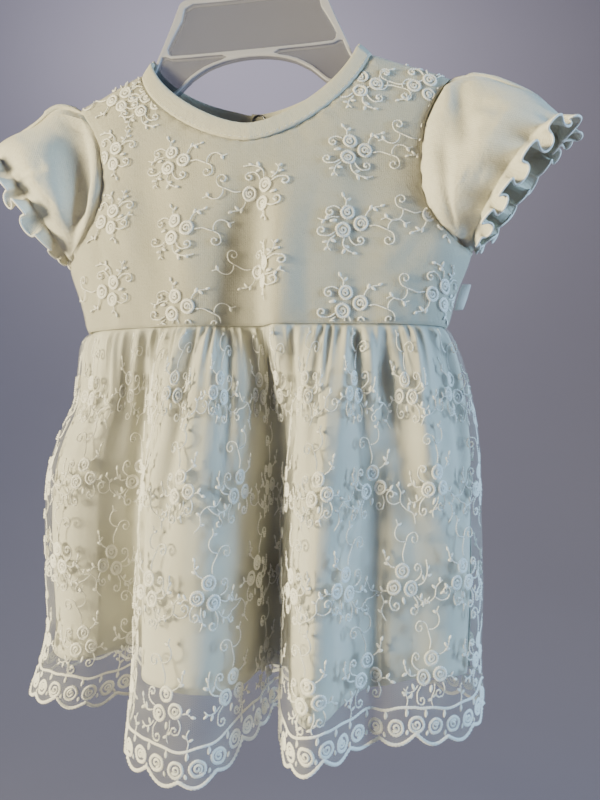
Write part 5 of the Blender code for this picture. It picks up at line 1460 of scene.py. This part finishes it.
def sleeve(side, name, node):
    n = 480
    a = (np.arange(n) + 0.0) / n
    b = np.concatenate([[0.004, 0.012, 0.024, 0.042, 0.066, 0.095], np.linspace(0.125, 0.94, 27), [0.965, 0.985, 1.0]])
    A2, B2 = np.meshgrid(a, b)
    P = sleeve_point(A2, B2, side)
    N = grid_normals(P, True)
    mid = P.mean(1, keepdims=True)
    if ((P - mid) * N).sum() < 0:
        N = -N
    ax = np.array([CUFF_DIR[1], 0.0, -CUFF_DIR[0]])
    R = P - P[-1].mean(0)
    R = unit(R - (R @ ax)[..., None] * ax)
    w = step(np.abs(a - 0.5), 0.20, 0.10)[None, :, None]
    N = unit(N * (1 - w) + R * w)
    P = P + N * sleeve_soft(A2, B2, side)[..., None]
    # tuck in at the armhole: the first rows start under the bodice's edge
    A = sleeve_ring(a)
    sa = np.sign(np.sin(2 * math.pi * a))
    inn = np.stack([0.2 + 0 * a, sa * 1.5 * np.minimum(np.abs(np.sin(2 * math.pi * a)) * 4, 1), -1.2 * np.maximum(np.cos(2 * math.pi * a), 0) ** 4], -1)
    t0 = A + inn + np.array([-1.6, 0, 0])
    t1 = A + inn * 0.75 + np.array([0.35, 0, 0])
    P = np.concatenate([t0[None], t1[None], P])
    # rippled edge: rounder than a plain wave, leaning over at its crests
    wv = np.linspace(0, 1, 13)[1:]
    A3, W3 = np.meshgrid(a, wv)
    K = sleeve_point(A3, np.ones_like(A3), side) + (P[-1] - sleeve_point(a, np.ones_like(a), side))[None] * (1 - W3[..., None])
    ang = 2 * math.pi * A3
    go, rip, wide, soft = frill_frame(A3)
    ph = frill_phase(A3, side)
    tg = np.stack([-np.sin(ang) * CUFF_DIR[0], -np.cos(ang), -np.sin(ang) * CUFF_DIR[1]], -1)
    amp = 4.2 * (1 + 0.25 * np.sin(5 * ang + side)) * soft
    P3 = K + go * (wide * W3 * (1 - 0.07 * np.cos(2 * ph) * W3) + 0.8 * np.cos(ph) * soft * W3**2)[..., None]
    P3 = P3 + rip * (np.sin(ph) * amp * W3**0.85)[..., None]
    P3 = P3 - tg * (np.sin(2 * ph) * 2.3 * W3**1.4 * soft)[..., None]
    P = np.concatenate([P, P3])
    N = grid_normals(P, True)
    mid = P.mean(1, keepdims=True)
    if ((P - mid) * N)[:40].sum() < 0:
        N = -N
    wr = np.ones(len(P))[:, None, None] * w
    R = P - P[-1].mean(0)
    R = unit(R - (R @ ax)[..., None] * ax)
    keep_r = np.concatenate([np.ones(len(P) - 12), np.linspace(1, 0, 12)])[:, None, None]
    N = unit(N * (1 - wr * keep_r) + R * wr * keep_r)
    T = np.concatenate([np.full(len(P) - 12, 0.75), np.linspace(0.7, 0.5, 12)])[:, None, None]
    if side < 0:
        P, N = mirror(P), mirror(N)
    P = askew(P)
    inner = P - N * T
    down = np.concatenate([[0], np.cumsum(np.linalg.norm(np.diff(P, axis=0), axis=2).mean(1))])
    UV = np.stack(np.broadcast_arrays((a * 200.0)[None, :], down[:, None]), -1)
    ob = shell(name, P, inner, JERSEY, UV, wrap=True)
    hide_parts(node)
    # overlocked thread along the rippled edge
    E = (P[-1] + inner[-1]) / 2
    m = 1100
    q = np.arange(m) / m * n
    i0 = q.astype(int) % n
    f = (q - np.floor(q))[:, None]
    i1, im, i2 = (i0 + 1) % n, (i0 - 1) % n, (i0 + 2) % n
    C = E[i0] + 0.5 * f * (E[i1] - E[im] + f * (2 * E[im] - 5 * E[i0] + 4 * E[i1] - E[i2] + f * (3 * (E[i0] - E[i1]) + E[i2] - E[im])))
    t = unit(np.roll(C, -1, 0) - np.roll(C, 1, 0))
    G = unit(N[-1])
    g = unit(G[i0] * (1 - f) + G[i1] * f)
    g = unit(g - (g * t).sum(1)[:, None] * t)
    h = np.cross(t, g)
    alt = np.where(np.arange(m) % 2 == 0, 1.12, 0.84)[:, None]
    ringp = [C + (g * math.cos(x) * 0.66 + h * math.sin(x) * 0.66) * alt for x in np.arange(5) * 2 * math.pi / 5]
    V = np.stack(ringp, 1).reshape(-1, 3)
    r, c = np.meshgrid(np.arange(m), np.arange(5), indexing="ij")
    r, c = r.ravel(), c.ravel()
    F = np.stack([r * 5 + c, r * 5 + (c + 1) % 5, ((r + 1) % m) * 5 + (c + 1) % 5, ((r + 1) % m) * 5 + c], 1)
    uv = np.stack([np.repeat(np.arange(m) * 0.45, 5), np.tile(np.arange(5) * 0.6, m)], -1)
    build(name + "_edge_thread", V, outward(V, [F]), THREAD, uv=uv)
    return ob


sleeve(1, "sleeve_left_jersey", "sleeve_left")
sleeve(-1, "sleeve_right_jersey", "sleeve_right")


# ======================================================================
# side label: folded tape, bare
# ======================================================================
w0 = 2 * LAY + CLOTH - 0.9
outer = [(LABEL_W * q, -y) for q, y in ((0.0, 0.80), (0.33, 0.92), (0.66, 0.88), (1.0, 0.64))] + [(LABEL_W + 0.7, 0.0)]
inner = [(LABEL_W * q, -y) for q, y in ((0.0, 0.36), (0.33, 0.46), (0.66, 0.42), (0.94, 0.22))] + [(LABEL_W + 0.25, 0.0)]
outer += [(x, -y) for x, y in outer[:4]][::-1]
inner += [(x, -y) for x, y in inner[:4]][::-1]
sec = outer + inner[::-1]
nz, ns, no = 13, len(sec), len(outer)
rows = []
for i in range(nz):
    t = i / (nz - 1)
    z = LABEL_Z - LABEL_H / 2 + LABEL_H * t
    e = float(spline(BODY, np.array([z]))[0, 0]) + w0
    rows.append([(e + x - 0.5 * (2 * t - 1) ** 2 * x / LABEL_W, y + 0.9 * math.sin(math.pi * t) * (x / LABEL_W) ** 2, z + 0.35 * x / LABEL_W * (0.5 - t)) for x, y in sec])
G = askew(np.array(rows))
V = G.reshape(-1, 3)
ends = np.array([(i, i + 1, ns - 2 - i, ns - 1 - i) for i in range(no - 1)])      # the folded wall's ends, strip by strip
fs = [grid_faces(nz, ns, wrap=True), ends, ends[:, ::-1] + (nz - 1) * ns]
per = np.concatenate([[0], np.cumsum(np.linalg.norm(np.diff(G[0], axis=0), axis=1))])
uvl = np.stack(np.broadcast_arrays(per[None, :], np.linspace(0, LABEL_H, nz)[:, None]), -1).reshape(-1, 2)
ob = build("side_label_tape", V, outward(V, fs), TAPE, uv=uvl, sharp=45)
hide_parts("side_label")


# ======================================================================
# hanger
# ======================================================================
HANGER_T, WEB_T = 4.4, 1.8
HOOK_R, HOOK_W = 16.0, 5.0


def arc(cx, cz, r, a0, a1, n):
    return [(cx + r * math.cos(math.radians(a0 + (a1 - a0) * i / n)), cz + r * math.sin(math.radians(a0 + (a1 - a0) * i / n))) for i in range(n + 1)]


def right_side():
    pts = [(4.0, -37.5)] + arc(35.8, -43.2, 5.0, 88, 26, 8)
    pts += [(45.6, -54.0), (49.6, -62.8), (53.6, -71.6)]
    pts += [(54.2, -74.2), (55.2, -76.4), (57.2, -79.2), (59.6, -81.6), (62.6, -83.6), (66.0, -85.2), (72.0, -87.4), (78.0, -89.6), (82.6, -91.4), (87.0, -93.6)]
    pts += arc(87.4, -97.4, 3.8, 60, -100, 10)
    pts += [(80.0, -98.2), (74.0, -96.5), (68.0, -94.6), (62.0, -92.5), (56.0, -91.0), (51.0, -90.5), (46.0, -90.6), (43.2, -90.1), (41.0, -89.0), (38.6, -87.0),
            (36.0, -84.6), (32.8, -81.9), (29.0, -79.6), (24.8, -77.3), (20.0, -75.6), (15.2, -74.3), (10.0, -73.4), (5.0, -72.9)]
    return pts


def area(p):
    return sum(p[i][0] * p[(i + 1) % len(p)][1] - p[(i + 1) % len(p)][0] * p[i][1] for i in range(len(p))) / 2


def clean(p, tol=0.3):
    q = []
    for a in p:
        if not q or math.hypot(a[0] - q[-1][0], a[1] - q[-1][1]) > tol:
            q.append(a)
    if math.hypot(q[0][0] - q[-1][0], q[0][1] - q[-1][1]) < tol:
        q.pop()
    return q if area(q) > 0 else q[::-1]


right = right_side()
outline = right + [(0.0, -72.7)] + [(-x, z) for x, z in right][::-1]
outline += [(-2.5, -36.6)] + arc(0, -HOOK_R, HOOK_R, -74, 200, 48) + arc(0, -HOOK_R, HOOK_R + HOOK_W, 200, -72, 52)
panel = [(-32.5, -41.0), (-16, -41.4), (0, -41.4), (16, -41.4), (32.5, -41.4)] + arc(35.4, -44.6, 2.0, 70, 20, 3) + [(38.6, -49.8), (42.0, -55.5), (44.6, -60.2), (46.8, -64.6)]
panel += arc(44.2, -66.0, 2.2, 10, -80, 5) + [(32, -68.5), (20.0, -68.6), (0, -68.6), (-20.0, -68.6), (-32, -68.5)] + arc(-44.2, -66.0, 2.2, -100, -190, 5)
panel += [(-46.8, -64.6), (-44.6, -60.2), (-42.0, -55.5), (-38.6, -49.8)] + arc(-35.4, -44.6, 2.0, 160, 110, 3)
arm = [(16.0, -70.2), (26.0, -70.1), (36.0, -70.1), (44.6, -69.8), (48.0, -68.4), (50.0, -68.6), (51.4, -72.0), (52.5, -74.6), (53.6, -76.9), (55.8, -80.0), (58.4, -82.5), (61.6, -84.6),
       (65.0, -86.2), (71.2, -88.6), (77.2, -90.8), (82.0, -92.8), (85.2, -94.8), (85.9, -96.3), (84.4, -97.2), (80.4, -96.7), (74.4, -95.0), (68.4, -93.1), (62.4, -91.0), (56.2, -89.5), (51.0, -89.0),
       (46.4, -89.0), (43.8, -88.4), (42.0, -87.4), (39.7, -85.5), (37.1, -83.1), (33.8, -80.3), (29.9, -77.9), (25.5, -75.6), (20.5, -73.9), (16.5, -73.0), (13.0, -71.6)]
arm_l = [(-x, z) for x, z in arm][::-1]
outline = [(x - 2.2 * float(step(-z, 31, 41)), z) for x, z in outline]
pockets = [[(x - 2.2, z) for x, z in p] for p in (panel, arm, arm_l)]
outline, pockets = clean(outline), [clean(p) for p in pockets]


def inset(loop, d):
    """The closed outline moved towards its left by d."""
    p = np.asarray(loop, float)
    e0, e1 = unit(p - np.roll(p, 1, 0)), unit(np.roll(p, -1, 0) - p)
    n0, n1 = np.stack([-e0[:, 1], e0[:, 0]], -1), np.stack([-e1[:, 1], e1[:, 0]], -1)
    n = unit(n0 + n1)
    c = np.maximum((n * n0).sum(1), 0.5)
    return p + n * (d / c)[:, None]


H, WB = HANGER_T / 2, WEB_T / 2
R1 = 0.75
steps = [(R1 * (1 - math.cos(math.radians(t))), H - R1 + R1 * math.sin(math.radians(t))) for t in (0, 25, 50, 75, 90)]
V, F4, F3 = [], [], []


def ring_at(loop, d, y):
    b = len(V)
    V.extend([(x, y, z) for x, z in inset(loop, d)])
    return b


def join(a, b, n, turn=False):
    for i in range(n):
        j = (i + 1) % n
        F4.append((a + i, b + i, b + j, a + j) if turn else (a + i, a + j, b + j, b + i))


n = len(outline)
front = [ring_at(outline, d, -y) for d, y in steps]
back = [ring_at(outline, d, y) for d, y in steps]
for a, b in zip(front, front[1:]):
    join(a, b, n)
for a, b in zip(back, back[1:]):
    join(a, b, n, True)
join(back[0], front[0], n)
caps = {-1: [front[-1]], 1: [back[-1]]}
sizes = {front[-1]: n, back[-1]: n}
for p in pockets:
    m = len(p)
    for sg in (-1, 1):
        rim = [ring_at(p, -d, sg * y) for d, y in [(0.55 * (1 - math.cos(math.radians(t))), H - 0.55 + 0.55 * math.sin(math.radians(t))) for t in (90, 60, 30, 0)]]
        foot = [ring_at(p, 0.0, sg * (WB + 0.5)), ring_at(p, 0.18, sg * (WB + 0.15)), ring_at(p, 0.55, sg * WB)]
        chain = rim + foot
        for a, b in zip(chain, chain[1:]):
            join(a, b, m, sg > 0)
        caps[sg].append(chain[0])
        sizes[chain[0]] = m
        pts = [V[chain[-1] + i] for i in range(m)]
        for t in tessellate_polygon([[(x, z, 0) for x, _, z in pts]]):
            aa = area([(pts[i][0], pts[i][2]) for i in t])
            f = tuple(chain[-1] + i for i in t)
            F3.append(f if (aa > 0) == (sg < 0) else f[::-1])
for sg in (-1, 1):
    idx = [[b + i for i in range(sizes[b])] for b in caps[sg]]
    flat = [i for q in idx for i in q]
    for t in tessellate_polygon([[(V[i][0], V[i][2], 0) for i in q] for q in idx]):
        aa = area([(V[flat[i]][0], V[flat[i]][2]) for i in t])
        f = tuple(flat[i] for i in t)
        F3.append(f if (aa > 0) == (sg < 0) else f[::-1])
V = np.array(V)
ob = build("hanger_clear", V, outward(V, [np.array(F4), np.array(F3)]), PLASTIC, sharp=40)
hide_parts("hanger")


# ======================================================================
# floor, light, camera
# ======================================================================
def stage_floor():
    """A pale floor that is flat for two metres round the object and rises smoothly far out."""
    V, F = [], []
    n, low = 72, -1.6
    rr = [0.0, 0.4, 0.8, 1.2, 1.6, 2.0, 2.4, 2.8, 3.2, 3.6, 4.0, 4.3, 4.55, 4.75, 4.9, 5.0, 5.05]
    for i, r in enumerate(rr):
        z = low
        if r > 2.0:
            t = min((r - 2.0) / 3.05, 1.0)
            z = low + 5.6 * (1 - math.sqrt(max(1 - t * t, 0)))
        for j in range(n):
            a = 2 * math.pi * j / n
            V.append((r * math.cos(a), r * math.sin(a), z))
            if r == 0:
                break
    F = [(0, 1 + j, 1 + (j + 1) % n) for j in range(n)]
    for i in range(1, len(rr) - 1):
        b0, b1 = 1 + (i - 1) * n, 1 + i * n
        F += [(b0 + j, b1 + j, b1 + (j + 1) % n, b0 + (j + 1) % n) for j in range(n)]
    me = bpy.data.meshes.new("floor")
    me.from_pydata(V, [], F)
    me.polygons.foreach_set("use_smooth", [True] * len(me.polygons))
    k = Nodes("floor_paint")
    o = k.obj()
    nz = k.noise(o, 160.0, 4.0)
    k.link(k.bump(nz, 0.25, 1.0), k.p.inputs["Normal"])
    k.link(k.tint(k.noise(o, 1.2, 2.0), (0.29, 0.285, 0.375), (0.315, 0.31, 0.40)), k.p.inputs["Base Color"])
    k.put(Roughness=0.85, Specular_IOR_Level=0.2)
    me.materials.append(k.m)
    ob = bpy.data.objects.new("floor", me)
    bpy.context.scene.collection.objects.link(ob)


stage_floor()

scene = bpy.context.scene
world = bpy.data.worlds.new("studio")
world.use_nodes = True
bg = world.node_tree.nodes["Background"]
bg.inputs[0].default_value = (0.56, 0.60, 0.80, 1)
bg.inputs[1].default_value = 0.26
scene.world = world


def lamp(name, loc, aim, w, h, power, colour):
    ld = bpy.data.lights.new(name, "AREA")
    ld.shape = "RECTANGLE"
    ld.size, ld.size_y = w, h
    ld.energy = power
    ld.color = colour
    ob = bpy.data.objects.new(name, ld)
    from mathutils import Vector
    ob.location = loc
    ob.rotation_mode = "QUATERNION"
    ob.rotation_quaternion = (Vector(aim) - Vector(loc)).to_track_quat("-Z", "Y")
    bpy.context.scene.collection.objects.link(ob)


lamp("key", (-1.57, -1.08, -0.08), (0, 0, -0.26), 0.5, 0.5, 114.0, (1.0, 0.885, 0.56))
lamp("fill", (1.68, -0.28, 0.0), (0, 0, -0.30), 0.45, 0.9, 50.0, (0.42, 0.70, 1.0))
lamp("back", (0.6, 1.7, 0.9), (0, 0, -0.2), 1.4, 1.2, 8.0, (0.92, 0.95, 1.0))
lamp("wash", (-0.9, 2.9, 2.9), (-1.1, 5.0, 2.1), 1.8, 1.0, 62.0, (1.0, 0.93, 0.88))

cam = bpy.data.cameras.new("camera")
cam.sensor_width = 36.0
cam.lens = 28.8
cam_ob = bpy.data.objects.new("camera", cam)
cam_ob.location = (0.0848, -0.336, -0.2574)
cam_ob.rotation_euler = (math.radians(90), 0, 0.177)
scene.collection.objects.link(cam_ob)
scene.camera = cam_ob
